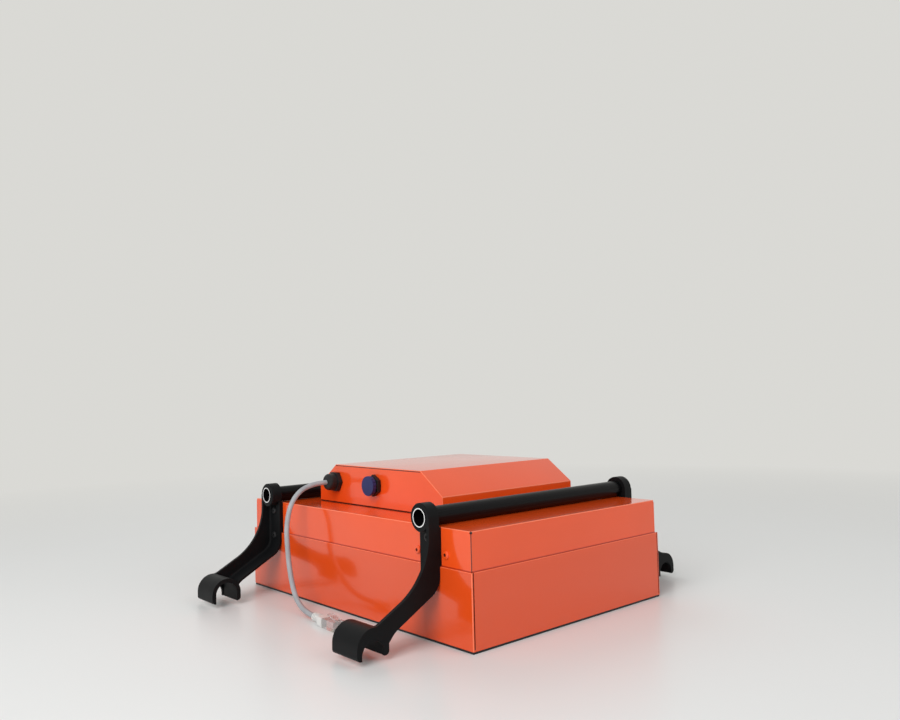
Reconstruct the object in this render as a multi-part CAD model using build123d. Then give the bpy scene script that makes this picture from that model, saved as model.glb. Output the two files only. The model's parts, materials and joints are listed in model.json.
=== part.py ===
from build123d import *
import os
from math import atan2, cos, degrees, pi, radians, sin, tan

# Ground penetrating radar: a folded sheet case with its antennas and electronics, hung on two cross
# tubes and four arms whose saddles sit on a pair of carrier tubes, with a short data lead.
# Millimetres. The origin is under the middle of the case, on the face that it rests on.
# +Z is up, -Y is the front and -X is the side with the connector.

# Case
TRAY_X = 254.0
TRAY_Y = 356.0
TRAY_WALL = 61.0
SHEET = 1.5
BEND_RADIUS = 1.4
CORNER_RADIUS = 0.7
PLATE = 2.0
PLATE_MARGIN = 0.6
LIP = 14.0
COVER_GAP = 0.3
COVER_RISE = 32.0
COVER_LAP = 12.0
RIM_ROUND = 0.4
SEAM_WIDTH = 0.8
SEAM_DEPTH = 1.2
WALL_SEAM_WIDTH = 1.0
WALL_SEAM_INSET = 1.8
RELIEF_RADIUS = 1.1
RELIEF_LENGTH = 6.0
PLATE_SCREW_INSET = 30.8

# Hood on the cover
HOOD_X = 177.2
HOOD_Y = 201.2
HOOD_TOP_Y = 140.4
HOOD_SIDE = 16.9
HOOD_HEIGHT = 38.8
HOOD_FOOT = 12.0
HOOD_EDGE = 0.8
HOOD_END_ROUND = 0.6
HOOD_SCREW_INSET = 24.0
GASKET = 1.0
GASKET_MARGIN = 0.4

# Screws and nuts
SCREW_RADIUS = 1.5
SCREW_HOLE = 1.7
THREAD_HOLE = 1.55
HEAD_RADIUS = 3.6
HEAD_HEIGHT = 2.0
HEAD_ROUND = 1.5
SOCKET_FLATS = 2.5
SOCKET_DEPTH = 1.2
NUT_RADIUS = 2.8
NUT_HEIGHT = 3.0
SCREW_TIP = 0.6
SCREW_GRIP = 6.0
THREAD_DEPTH = 9.0
SINK_RADIUS = 2.9
SINK_DEPTH = 1.4
SINK_CLEARANCE = 0.1

# Hanger frame
TUBE_RADIUS = 8.0
TUBE_WALL = 1.0
TUBE_FROM_END = 49.8
TUBE_OVER_COVER = 0.05
TUBE_PROUD = 0.7
TUBE_FIT = 0.05
BOSS_RADIUS = 12.0
BOSS_CHAMFER = 0.8
WEB = 3.2
FLANGE = 2.2
FLANGE_WIDTH = 22.7
ROOT_RADIUS = 2.4
RIM_CLEARANCE = 0.5
ARM_TOP_DEPTH = 11.2
ARM_OUTER_KNEE = 56.3
ARM_INNER_KNEE = 45.6
ARM_TOE_REACH = 6.0
ARM_TOE_HEIGHT = 19.8
OUTER_KNEE_RADIUS = 56.4
INNER_KNEE_RADIUS = 18.0
CROWN_BLEND_RADIUS = 9.0
CROWN_FLAT = 4.1
TOE_RADIUS = 18.0
SADDLE_REACH = 68.5
SADDLE_CROWN = 12.8
SADDLE_BORE = 11.0
SADDLE_WALL = 4.0
SADDLE_LENGTH = 34.0
SADDLE_FOOT = 4.5
SADDLE_TIP_RADIUS = 3.4
CARRIER_RADIUS = 10.0
SEAT_CLEARANCE = 0.5
SEAT_DROP = 5.4
ARM_SCREW_HIGH = 86.0
ARM_SCREW_LOW = 60.0
COVER_SCREW_HEIGHT = 73.2
COVER_SCREW_SPREAD = 18.1
NUT_PLATE = 2.0
NUT_PLATE_MARGIN = 8.0
NUT_PLATE_FOOT = 22.0
NUT_PLATE_CLEARANCE = 1.0

# Antennas, shield and foam
BOARD = 1.6
COPPER = 0.2
ANTENNA_MARGIN = 3.5
PARTITION_GAP = 6.0
WING_GAP = 5.0
WING_LENGTH = 92.0
WING_ROOT = 8.0
WING_TIP = 118.0
UNIT_X = 70.0
UNIT_Y = 60.0
UNIT_LIFT = 4.0
SPACER_RADIUS = 2.6
SPACER_INSET = 4.0
CAN_INSET = 3.0
CAN_HEIGHT = 12.0
CAN_SHEET = 0.6
PIN_RADIUS = 0.6
PIN_INSET = 1.5
DECK_HEIGHT = 54.0
DECK_MARGIN = 6.0
POST_RADIUS = 3.5
POST_CLEARANCE = 0.5
FOAM = 18.0
FOAM_MARGIN = 8.0

# Electronics under the hood
CONTROL_X = 130.0
CONTROL_Y = 150.0
CONTROL_LIFT = 18.0
STANDOFF_RADIUS = 3.0
STANDOFF_INSET = 6.0
HEATSINK_SIDE = 40.0
HEATSINK_HEIGHT = 14.0
HEATSINK_BASE = 3.0
HEATSINK_FINS = 9
FIN = 1.6
HEATSINK_FROM_MIDDLE = 40.0
POWER_X = 58.0
POWER_Y = 37.0
POWER_HEIGHT = 13.0
POWER_ROUND = 3.0
POWER_FROM_MIDDLE = 37.0
JACK_SIDE = 6.4
JACK_BARREL = 8.0
JACK_RADIUS = 2.6
JACK_FROM_MIDDLE = 24.0
COAX_RADIUS = 1.5
COAX_BEND = 9.0
COAX_STRAIGHT = 5.4
COAX_HOLE = 3.0
HEADER_X = 8.0
HEADER_Y = 12.0
HEADER_HEIGHT = 9.0
HEADER_INSET = 15.0
HARNESS_RADIUS = 2.5
HARNESS_BEND = 12.0

# Capped connector on the hood's left end
CONNECTOR_HEIGHT = 21.2
PANEL_HOLE = 7.6
SOCKET_RADIUS = 7.4
SOCKET_REAR = 16.0
SOCKET_HEX_FLATS = 18.6
SOCKET_FLANGE_THICK = 3.6
SOCKET_FLANGE_ROUND = 0.6
COLLAR_RADIUS = 8.4
COLLAR = 1.3
SOCKET_BARREL = 7.8
SOCKET_BARREL_LENGTH = 2.8
SOCKET_BARREL_WALL = 1.2
SEAL_RADIUS = 9.0
SEAL = 0.8
NUT_FIT = 0.2
PANEL_NUT_FLATS = 21.0
PANEL_NUT = 4.0
CAP_RADIUS = 9.6
CAP_LENGTH = 4.2
CAP_GAP = 0.3
CAP_RIM = 0.8
CAP_ROUND = 0.4
CAP_SCALLOPS = 16
SCALLOP_RADIUS = 1.1
SCALLOP_DEPTH = 0.55

# Gland beside it, where the data lead comes out
GLAND_Y = 68.0
GLAND_FLATS = 19.0
GLAND_BASE = 4.0
GLAND_DOME = 8.5
GLAND_DOME_LENGTH = 9.0
GLAND_MOUTH = 5.0

# Data lead, from its gland down to the floor beside the case
LEAD_RADIUS = 2.5
LEAD_START = 21.0
LEAD_DRAPE = [
    (-142.0, 68.5, 104.5),
    (-150.0, 67.5, 81.0),
    (-151.0, 64.0, 54.0),
    (-153.0, 55.0, 29.5),
    (-157.0, 39.0, 12.5),
]
LEAD_LANDING = [(-160.0, 18.0), (-161.5, -3.0)]
RUN_SHARE = 0.45

# Modular plug on the lead's end
BOOT_NECK = 14.0
BOOT_CORE = 3.4
BOOT_RIB = 4.1
BOOT_RIBS = 5
BOOT_RIB_WIDTH = 1.4
BOOT_LENGTH = 9.0
BOOT_X = 12.6
BOOT_Z = 8.4
BOOT_ROUND = 1.5
JACK_PLUG_X = 11.7
JACK_PLUG_Z = 8.1
JACK_PLUG_LENGTH = 21.0
BLADES = 8
BLADE_PITCH = 1.02
BLADE = 0.35
BLADE_SLOT = 0.55
BLADE_LENGTH = 6.5
BLADE_DEPTH = 1.6
BLADE_RECESS = 0.2
LATCH_X = 5.6
LATCH_LENGTH = 14.0
LATCH_THICK = 1.1
LATCH_ANGLE = 12.0
LATCH_GAP = 0.3
LATCH_NUB = 1.2

# How far cutters run past a face, how near counts as touching, and a fillet's share of its wall
PAST = 1.0
TOUCH = 0.01
FILLET_SHARE = 0.9

# Places worked out from the sizes above
TRAY_RIM = PLATE + TRAY_WALL
COVER_TOP = TRAY_RIM + COVER_RISE
COVER_FOOT = TRAY_RIM - COVER_LAP
TRAY_SIDE = TRAY_X / 2
COVER_X = TRAY_X - 2 * (SHEET + COVER_GAP)
COVER_Y = TRAY_Y - 2 * (SHEET + COVER_GAP)
COVER_SIDE = COVER_X / 2
LIP_TOP = PLATE + SHEET
HOOD_BASE = COVER_TOP + GASKET
HOOD_TOP = HOOD_BASE + HOOD_HEIGHT
HOOD_END = HOOD_X / 2
TUBE_Y = TRAY_Y / 2 - TUBE_FROM_END
TUBE_Z = COVER_TOP + TUBE_OVER_COVER + TUBE_RADIUS
BOSS_FACE = TRAY_SIDE + ARM_TOP_DEPTH
TUBE_END = BOSS_FACE + TUBE_PROUD
ARM_OUT = TUBE_Y + BOSS_RADIUS
FLANGE_FACE = TRAY_SIDE + FLANGE
SADDLE_X = TRAY_SIDE + SADDLE_REACH
SADDLE_OUTER = SADDLE_BORE + SADDLE_WALL
NUT_FACE = COVER_SIDE - SHEET - NUT_PLATE
NUT_END = NUT_FACE - NUT_HEIGHT
INSIDE_X = TRAY_SIDE - SHEET
INSIDE_Y = TRAY_Y / 2 - SHEET
ANTENNA_X = INSIDE_X - LIP - ANTENNA_MARGIN
ANTENNA_FAR = INSIDE_Y - LIP - ANTENNA_MARGIN
ANTENNA_Y = (PARTITION_GAP + ANTENNA_FAR) / 2
ANTENNA_TOP = PLATE + BOARD
UNIT_BASE = ANTENNA_TOP + UNIT_LIFT
UNIT_TOP = UNIT_BASE + BOARD
CAN_TOP = UNIT_TOP + CAN_HEIGHT
DECK_TOP = DECK_HEIGHT + SHEET
DECK_X = INSIDE_X - DECK_MARGIN
DECK_Y = INSIDE_Y - DECK_MARGIN
POST_X = INSIDE_X - LIP + POST_RADIUS + POST_CLEARANCE
POST_Y = INSIDE_Y - LIP + POST_RADIUS + POST_CLEARANCE
CONTROL_BASE = DECK_TOP + CONTROL_LIFT
CONTROL_TOP = CONTROL_BASE + BOARD
JACK_Z = CONTROL_TOP + JACK_SIDE / 2
COAX_Y = CONTROL_Y / 2 + JACK_BARREL + COAX_BEND + COAX_STRAIGHT
CONNECTOR_Z = HOOD_BASE + CONNECTOR_HEIGHT
FLANGE_BACK = -(HOOD_END + SEAL)
FLANGE_FRONT = FLANGE_BACK - SOCKET_FLANGE_THICK
COLLAR_FRONT = FLANGE_FRONT - COLLAR
CAP_BACK = COLLAR_FRONT - CAP_GAP
CAP_FRONT = CAP_BACK - CAP_LENGTH
GLAND_FRONT = FLANGE_BACK - GLAND_BASE
LEAD_X = GLAND_FRONT - GLAND_DOME_LENGTH
LEAD_EXIT = [(LEAD_X, GLAND_Y, CONNECTOR_Z), (LEAD_X - LEAD_START, GLAND_Y, CONNECTOR_Z)]
LEAD_FLOOR = BOOT_Z / 2
LEAD_ROUTE = LEAD_EXIT + LEAD_DRAPE + [(x, y, LEAD_FLOOR) for x, y in LEAD_LANDING]
PANEL_PLACES = (0.0, GLAND_Y)

SIDES = (-1, 1)


def block(x0, x1, y0, y1, z0, z1):
    """Box between two corners."""
    size = Box(abs(x1 - x0), abs(y1 - y0), abs(z1 - z0))
    return Pos((x0 + x1) / 2, (y0 + y1) / 2, (z0 + z1) / 2) * size


def slab(length_x, length_y, z0, z1):
    """Box centred on the Z axis."""
    return block(-length_x / 2, length_x / 2, -length_y / 2, length_y / 2, z0, z1)


def rod_x(radius, x0, x1, y, z):
    """Round bar along X."""
    return Pos((x0 + x1) / 2, y, z) * Rot(0, 90, 0) * Cylinder(radius, abs(x1 - x0))


def rod_y(radius, y0, y1, x, z):
    """Round bar along Y."""
    return Pos(x, (y0 + y1) / 2, z) * Rot(90, 0, 0) * Cylinder(radius, abs(y1 - y0))


def rod_z(radius, z0, z1, x, y):
    """Round bar along Z."""
    return Pos(x, y, (z0 + z1) / 2) * Cylinder(radius, abs(z1 - z0))


def hexagon_x(flats, x0, x1, y, z, turn=0):
    """Hexagonal bar along X, by its width across flats, turned from having points at its sides."""
    corner = flats / 2 / cos(radians(30))
    start = Plane((min(x0, x1), y, z), x_dir=(0, 1, 0), z_dir=(1, 0, 0))
    return extrude(start * RegularPolygon(corner, 6, rotation=turn), abs(x1 - x0))


def cut_all(solid, cutters):
    """Solid with every cutter taken out of it."""
    for cutter in cutters:
        solid = solid - cutter
    return solid


def ends_of_box(edges, length_x, length_y):
    """Edges that stand upright at the corners of a centred rectangle."""
    corners = []
    for edge in edges.filter_by(Axis.Z):
        middle = edge.center()
        at_x = abs(abs(middle.X) - length_x / 2) < TOUCH
        at_y = abs(abs(middle.Y) - length_y / 2) < TOUCH
        if at_x and at_y:
            corners.append(edge)
    return corners


def corner_seams(length_x, length_y, z0, z1):
    """Thin slots down the four upright corners, where the folded walls meet."""
    slots = []
    for side_x in SIDES:
        for side_y in SIDES:
            turn = degrees(atan2(side_y, side_x))
            slot = Box(2 * SEAM_DEPTH, SEAM_WIDTH, z1 - z0)
            place = Pos(side_x * length_x / 2, side_y * length_y / 2, (z0 + z1) / 2)
            slots.append(place * Rot(0, 0, turn) * slot)
    return slots


def wall_seams(length_x, length_y, z0, z1):
    """Open joints in the front and rear faces, where they butt against the side walls."""
    slots = []
    for side_x in SIDES:
        for side_y in SIDES:
            slot = Box(WALL_SEAM_WIDTH, 2 * SEAM_DEPTH, z1 - z0)
            x = side_x * (length_x / 2 - WALL_SEAM_INSET)
            slots.append(Pos(x, side_y * length_y / 2, (z0 + z1) / 2) * slot)
    return slots


def corner_reliefs(length_x, length_y, z):
    """Small bend-relief holes at the upper corners of a folded box."""
    holes = []
    for side_x in SIDES:
        for side_y in SIDES:
            turn = degrees(atan2(side_y, side_x))
            hole = Rot(0, 90, 0) * Cylinder(RELIEF_RADIUS, RELIEF_LENGTH)
            place = Pos(side_x * length_x / 2, side_y * length_y / 2, z)
            holes.append(place * Rot(0, 0, turn) * hole)
    return holes


def arm_screw_places():
    """Side, Y and Z of each screw that holds an arm."""
    places = []
    for side_x in SIDES:
        for side_y in SIDES:
            for z in (ARM_SCREW_LOW, ARM_SCREW_HIGH):
                places.append((side_x, side_y * TUBE_Y, z))
    return places


def cover_screw_places():
    """Side, Y and Z of each screw that holds the cover."""
    places = []
    for side_x in SIDES:
        for side_y in SIDES:
            for spread in (-COVER_SCREW_SPREAD, COVER_SCREW_SPREAD):
                places.append((side_x, side_y * TUBE_Y + spread, COVER_SCREW_HEIGHT))
    return places


def side_holes(places, radius, inner, outer):
    """Holes along X through a side wall at the given places."""
    return [rod_x(radius, side * inner, side * outer, y, z) for side, y, z in places]


def hood_screw_places():
    """X and Y of the screws along the hood's two long feet."""
    row = HOOD_Y / 2 - SHEET - (HOOD_FOOT - SHEET) / 2
    step = HOOD_END - HOOD_SCREW_INSET
    return [(x, side * row) for side in SIDES for x in (-step, 0.0, step)]


def plate_screw_places():
    """X and Y of the screws round the bottom plate."""
    edge_x = INSIDE_X - LIP / 2
    edge_y = INSIDE_Y - LIP / 2
    along_x = edge_x - PLATE_SCREW_INSET
    along_y = edge_y - PLATE_SCREW_INSET
    places = []
    for side in SIDES:
        for part in (-1, 0, 1):
            places.append((part * along_x, side * edge_y))
        for part in (-1, -1 / 3, 1 / 3, 1):
            places.append((side * edge_x, part * along_y))
    return places


def post_places():
    """X and Y of the posts that carry the shield deck."""
    return [(x * POST_X, y * POST_Y) for x in SIDES for y in SIDES]


def standoff_places():
    """X and Y of the standoffs under the control board."""
    reach_x = CONTROL_X / 2 - STANDOFF_INSET
    reach_y = CONTROL_Y / 2 - STANDOFF_INSET
    return [(x * reach_x, y * reach_y) for x in SIDES for y in SIDES]


def button_screw(tip):
    """Button-head screw along -X, its head's seat at the origin and its tip at the given depth."""
    head = rod_x(HEAD_RADIUS, 0, HEAD_HEIGHT, 0, 0)
    rim = head.faces().sort_by(Axis.X)[-1].edges()
    head = fillet(rim, min(HEAD_ROUND, FILLET_SHARE * HEAD_HEIGHT))
    head = head - hexagon_x(SOCKET_FLATS, HEAD_HEIGHT - SOCKET_DEPTH, HEAD_HEIGHT, 0, 0)
    return head + rod_x(SCREW_RADIUS, -tip, 0, 0, 0)


def side_screws(places, seat):
    """Screws through the side walls, heads outside."""
    screw = button_screw(seat - NUT_END + SCREW_TIP)
    solids = []
    for side, y, z in places:
        turn = Rot(0, 0, 0) if side > 0 else Rot(0, 0, 180)
        solids.append(Pos(side * seat, y, z) * turn * screw)
    return Compound(children=solids)


def upright_screws(places, seat, length, head_up):
    """Button-head screws along Z at the given places."""
    turn = Rot(0, -90, 0) if head_up else Rot(0, 90, 0)
    screw = turn * button_screw(length)
    return Compound(children=[Pos(x, y, seat) * screw for x, y in places])


def tray_shell():
    """Folded tray with an inward lip at its foot."""
    tray = slab(TRAY_X, TRAY_Y, PLATE, TRAY_RIM)
    tray = fillet(ends_of_box(tray.edges(), TRAY_X, TRAY_Y), CORNER_RADIUS)
    tray = fillet(tray.faces().sort_by(Axis.Z)[-1].edges(), RIM_ROUND)
    tray = tray - slab(2 * INSIDE_X, 2 * INSIDE_Y, LIP_TOP, TRAY_RIM)
    tray = tray - slab(2 * (INSIDE_X - LIP), 2 * (INSIDE_Y - LIP), PLATE, LIP_TOP)
    low_row = [place for place in arm_screw_places() if place[2] == ARM_SCREW_LOW]
    tray = cut_all(tray, side_holes(low_row, SCREW_HOLE, INSIDE_X - PAST, TRAY_SIDE + PAST))
    tray = cut_all(tray, wall_seams(TRAY_X, TRAY_Y, LIP_TOP, TRAY_RIM))
    threads = [rod_z(THREAD_HOLE, PLATE - PAST, LIP_TOP + PAST, x, y) for x, y in plate_screw_places()]
    return cut_all(tray, threads)


def top_cover():
    """Folded lid whose skirt tucks inside the tray, with a window under the hood."""
    cover = slab(COVER_X, COVER_Y, COVER_FOOT, COVER_TOP)
    cover = fillet(ends_of_box(cover.edges(), COVER_X, COVER_Y), CORNER_RADIUS)
    cover = fillet(cover.faces().sort_by(Axis.Z)[-1].edges(), CORNER_RADIUS)
    cover = cover - slab(COVER_X - 2 * SHEET, COVER_Y - 2 * SHEET, COVER_FOOT, COVER_TOP - SHEET)
    cover = cover - slab(HOOD_X - 2 * HOOD_FOOT, HOOD_Y - 2 * HOOD_FOOT, COVER_TOP - SHEET, COVER_TOP)
    places = arm_screw_places() + cover_screw_places()
    cover = cut_all(cover, side_holes(places, SCREW_HOLE, COVER_SIDE - SHEET - PAST, COVER_SIDE + PAST))
    under = COVER_TOP - SHEET - PAST
    holes = [rod_z(SCREW_HOLE, under, COVER_TOP + PAST, x, y) for x, y in hood_screw_places()]
    cover = cut_all(cover, holes)
    cover = cut_all(cover, corner_seams(COVER_X, COVER_Y, COVER_FOOT, COVER_TOP - RELIEF_RADIUS))
    return cut_all(cover, corner_reliefs(COVER_X, COVER_Y, COVER_TOP - RELIEF_RADIUS))


def hood_outline(inset):
    """Closed outline of the hood's section in the YZ plane, drawn in by the sheet."""
    side = HOOD_Y / 2
    top = HOOD_TOP_Y / 2
    shoulder = HOOD_BASE + HOOD_SIDE
    slope = atan2(HOOD_HEIGHT - HOOD_SIDE, side - top)
    drop = inset * tan(slope / 2)
    draw = inset * tan((pi / 2 - slope) / 2)
    points = [
        (-side + inset, HOOD_BASE),
        (-side + inset, shoulder - draw),
        (-top + drop, HOOD_TOP - inset),
        (top - drop, HOOD_TOP - inset),
        (side - inset, shoulder - draw),
        (side - inset, HOOD_BASE),
    ]
    return Plane.YZ * make_face(Polyline(*points, close=True))


def hood_end_seams():
    """Fine groove high on each end face, where the end wall meets the folded roof."""
    high = HOOD_TOP - HOOD_EDGE
    groove = slab(2 * SEAM_DEPTH, HOOD_TOP_Y, high - SEAM_WIDTH, high)
    return [Pos(side * HOOD_END, 0, 0) * groove for side in SIDES]


def electronics_hood():
    """Raised hood: upright sides, sloped flanks, flat roof and an inward foot."""
    hood = Pos(-HOOD_END, 0, 0) * extrude(hood_outline(0), HOOD_X)
    long_edges = [edge for edge in hood.edges().filter_by(Axis.X) if edge.center().Z > HOOD_BASE + TOUCH]
    hood = fillet(long_edges, BEND_RADIUS)
    end_edges = [edge for edge in hood.edges() if abs(abs(edge.center().X) - HOOD_END) < TOUCH]
    hood = fillet([edge for edge in end_edges if edge.center().Z > HOOD_BASE + TOUCH], HOOD_END_ROUND)
    room = Pos(-HOOD_END + SHEET, 0, 0) * extrude(hood_outline(SHEET), HOOD_X - 2 * SHEET)
    foot = slab(HOOD_X, HOOD_Y, HOOD_BASE, HOOD_BASE + SHEET)
    hood = hood - (room - foot)
    hood = hood - slab(HOOD_X - 2 * HOOD_FOOT, HOOD_Y - 2 * HOOD_FOOT, HOOD_BASE, HOOD_BASE + SHEET)
    over = HOOD_BASE + SHEET + PAST
    holes = [rod_z(SCREW_HOLE, HOOD_BASE - PAST, over, x, y) for x, y in hood_screw_places()]
    for y in PANEL_PLACES:
        holes.append(rod_x(PANEL_HOLE, -HOOD_END - PAST, -HOOD_END + SHEET + PAST, y, CONNECTOR_Z))
    return cut_all(hood, holes + hood_end_seams())


def hood_gasket():
    """Flat seal between the cover and the hood's foot."""
    seal = slab(HOOD_X - 2 * GASKET_MARGIN, HOOD_Y - 2 * GASKET_MARGIN, COVER_TOP, HOOD_BASE)
    seal = seal - slab(HOOD_X - 2 * HOOD_FOOT, HOOD_Y - 2 * HOOD_FOOT, COVER_TOP, HOOD_BASE)
    holes = [rod_z(SCREW_HOLE, COVER_TOP - PAST, HOOD_BASE + PAST, x, y) for x, y in hood_screw_places()]
    return cut_all(seal, holes)


def sink_cone(clearance):
    """Countersunk head's cone, wide end on the underside."""
    wide = SINK_RADIUS + clearance
    narrow = SCREW_RADIUS + clearance
    return Pos(0, 0, SINK_CLEARANCE + SINK_DEPTH / 2) * Cone(wide, narrow, SINK_DEPTH)


def bottom_plate():
    """Flat plate under the tray, which the antennas look through."""
    plate = slab(TRAY_X - 2 * PLATE_MARGIN, TRAY_Y - 2 * PLATE_MARGIN, 0, PLATE)
    hole = rod_z(SCREW_HOLE, -PAST, PLATE + PAST, 0, 0)
    mouth = rod_z(SINK_RADIUS + SINK_CLEARANCE, -PAST, SINK_CLEARANCE, 0, 0)
    seat = hole + mouth + sink_cone(SINK_CLEARANCE)
    return cut_all(plate, [Pos(x, y, 0) * seat for x, y in plate_screw_places()])


def bottom_plate_screws():
    """Countersunk screws from the plate into the tray's lip."""
    shank = rod_z(SCREW_RADIUS, SINK_CLEARANCE + SINK_DEPTH, LIP_TOP + SCREW_TIP, 0, 0)
    recess = rod_z(SOCKET_FLATS / 2, SINK_CLEARANCE, SINK_CLEARANCE + SOCKET_DEPTH, 0, 0)
    screw = sink_cone(0) - recess + shank
    return Compound(children=[Pos(x, y, 0) * screw for x, y in plate_screw_places()])


def hood_nuts():
    """Nuts on the hood's foot."""
    nut = rod_z(NUT_RADIUS, 0, NUT_HEIGHT, 0, 0) - rod_z(THREAD_HOLE, -PAST, NUT_HEIGHT + PAST, 0, 0)
    return Compound(children=[Pos(x, y, HOOD_BASE + SHEET) * nut for x, y in hood_screw_places()])


def nut_plates():
    """Plates behind the cover's side walls, footed on the tray, that take the side screws."""
    half = COVER_SCREW_SPREAD + NUT_PLATE_MARGIN
    high = ARM_SCREW_HIGH + NUT_PLATE_MARGIN - NUT_RADIUS
    foot_top = COVER_FOOT - NUT_PLATE_CLEARANCE
    low = foot_top - NUT_PLATE_FOOT
    plate = block(NUT_FACE, NUT_FACE + NUT_PLATE, -half, half, low, high)
    plate = plate + block(NUT_FACE, INSIDE_X, -half, half, low, foot_top)
    solids = []
    for side_x in SIDES:
        for side_y in SIDES:
            turned = plate if side_x > 0 else mirror(plate, about=Plane.YZ)
            solids.append(Pos(0, side_y * TUBE_Y, 0) * turned)
    places = arm_screw_places() + cover_screw_places()
    holes = side_holes(places, SCREW_HOLE, NUT_FACE - PAST, NUT_FACE + NUT_PLATE + PAST)
    return Compound(children=[cut_all(solid, holes) for solid in solids])


def press_nuts():
    """Press nuts on the inner face of the nut plates."""
    solids = []
    for side, y, z in arm_screw_places() + cover_screw_places():
        nut = rod_x(NUT_RADIUS, side * NUT_END, side * NUT_FACE, y, z)
        solids.append(nut - rod_x(THREAD_HOLE, side * (NUT_END - PAST), side * (NUT_FACE + PAST), y, z))
    return Compound(children=solids)


def cross_tube(side_y):
    """Hollow tube across the case, from arm to arm."""
    y = side_y * TUBE_Y
    bore = rod_x(TUBE_RADIUS - TUBE_WALL, -TUBE_END - PAST, TUBE_END + PAST, y, TUBE_Z)
    return rod_x(TUBE_RADIUS, -TUBE_END, TUBE_END, y, TUBE_Z) - bore


def arm_edges():
    """Outer and inner edges of the arm's web, as lines in the XZ plane."""
    crown_top = SADDLE_CROWN + SADDLE_OUTER
    blend_x = SADDLE_X - CROWN_FLAT
    leg_x = SADDLE_X - SADDLE_OUTER
    toe_x = leg_x - ARM_TOE_REACH
    outer = [(BOSS_FACE, TUBE_Z), (BOSS_FACE, ARM_OUTER_KNEE), (blend_x, crown_top), (SADDLE_X, crown_top)]
    inner = [
        (TRAY_SIDE, TUBE_Z),
        (TRAY_SIDE, ARM_INNER_KNEE),
        (toe_x, ARM_TOE_HEIGHT),
        (leg_x + SADDLE_WALL / 2, SADDLE_CROWN - SADDLE_WALL / 2),
    ]
    return (
        FilletPolyline(*outer, radius=[OUTER_KNEE_RADIUS, CROWN_BLEND_RADIUS]),
        FilletPolyline(*inner, radius=[INNER_KNEE_RADIUS, TOE_RADIUS]),
    )


def saddle_section(radius, crown, foot, tip_radius):
    """Upturned U section: round crown with legs down to the given height."""
    legs = Pos(SADDLE_X, (crown + foot) / 2) * Rectangle(2 * radius, crown - foot)
    if tip_radius > 0:
        legs = fillet(legs.vertices().group_by(Axis.Y)[0], tip_radius)
    below = Pos(SADDLE_X, foot - radius) * Rectangle(4 * radius, 2 * radius)
    lobe = Pos(SADDLE_X, crown) * Circle(radius) - below
    half = Pos(SADDLE_X, crown + radius) * Rectangle(4 * radius, 2 * radius)
    return (lobe & half) + legs


def along_y(face, y0, y1):
    """Section in the XZ plane carried from y0 to y1."""
    return Pos(0, y1, 0) * extrude(Plane.XZ * face, y1 - y0)


def root_edges(solid, inner):
    """Edges in the corner between the arm's web and its flange."""
    edges = []
    for edge in solid.edges():
        middle = edge @ 0.5
        on_web = abs(middle.Y - (ARM_OUT - WEB)) < TOUCH
        off_line = inner.distance_to(Vector(middle.X, middle.Z, 0))
        if on_web and abs(off_line - FLANGE) < TOUCH:
            edges.append(edge)
    return edges


def hanger_arm(side_x, side_y):
    """L-section arm: boss on the cross tube, flange screwed to the case, web, and saddle.

    The saddle is an arch that is open at its inner end. The web closes its outer end down to a
    round notch, which sits on the carrier tube.
    """
    outer, inner = arm_edges()
    top = Line(outer @ 0, inner @ 0)
    toe = Line(outer @ 1, inner @ 1)
    web_face = make_face([outer, inner, top, toe])
    strip = make_face(offset(inner, FLANGE, side=Side.LEFT)) & web_face
    flange_edge = ARM_OUT - FLANGE_WIDTH
    arm = along_y(web_face, ARM_OUT - WEB, ARM_OUT) + along_y(strip, flange_edge, ARM_OUT - WEB)
    arm = fillet(root_edges(arm, inner), min(ROOT_RADIUS, FILLET_SHARE * (INNER_KNEE_RADIUS - FLANGE)))
    pad_foot = TRAY_RIM + RIM_CLEARANCE
    arm = arm + block(COVER_SIDE, FLANGE_FACE, flange_edge, ARM_OUT, pad_foot, COVER_TOP)
    boss = rod_x(BOSS_RADIUS, TRAY_SIDE, BOSS_FACE, TUBE_Y, TUBE_Z)
    boss = chamfer(boss.faces().sort_by(Axis.X)[-1].edges(), BOSS_CHAMFER)
    arm = arm + boss
    tip_radius = min(SADDLE_TIP_RADIUS, FILLET_SHARE * SADDLE_WALL)
    saddle = saddle_section(SADDLE_OUTER, SADDLE_CROWN, SADDLE_FOOT, tip_radius)
    arm = arm + along_y(saddle, ARM_OUT - SADDLE_LENGTH, ARM_OUT)
    below_foot = SADDLE_FOOT - PAST
    channel = saddle_section(SADDLE_BORE, SADDLE_CROWN, below_foot, 0)
    arm = arm - along_y(channel, ARM_OUT - SADDLE_LENGTH - PAST, ARM_OUT - WEB)
    notch = saddle_section(CARRIER_RADIUS + SEAT_CLEARANCE, SADDLE_CROWN - SEAT_DROP, below_foot, 0)
    arm = arm - along_y(notch, ARM_OUT - SADDLE_LENGTH - PAST, ARM_OUT + PAST)
    arm = arm - rod_x(TUBE_RADIUS + TUBE_FIT, COVER_SIDE - PAST, TUBE_END + PAST, TUBE_Y, TUBE_Z)
    for z in (ARM_SCREW_LOW, ARM_SCREW_HIGH):
        arm = arm - rod_x(SCREW_HOLE, COVER_SIDE - PAST, FLANGE_FACE + PAST, TUBE_Y, z)
    if side_x < 0:
        arm = mirror(arm, about=Plane.YZ)
    if side_y < 0:
        arm = mirror(arm, about=Plane.XZ)
    return arm


def antenna_board(side_y):
    """Antenna board lying on the bottom plate."""
    return block(-ANTENNA_X, ANTENNA_X, side_y * PARTITION_GAP, side_y * ANTENNA_FAR, PLATE, ANTENNA_TOP)


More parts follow.
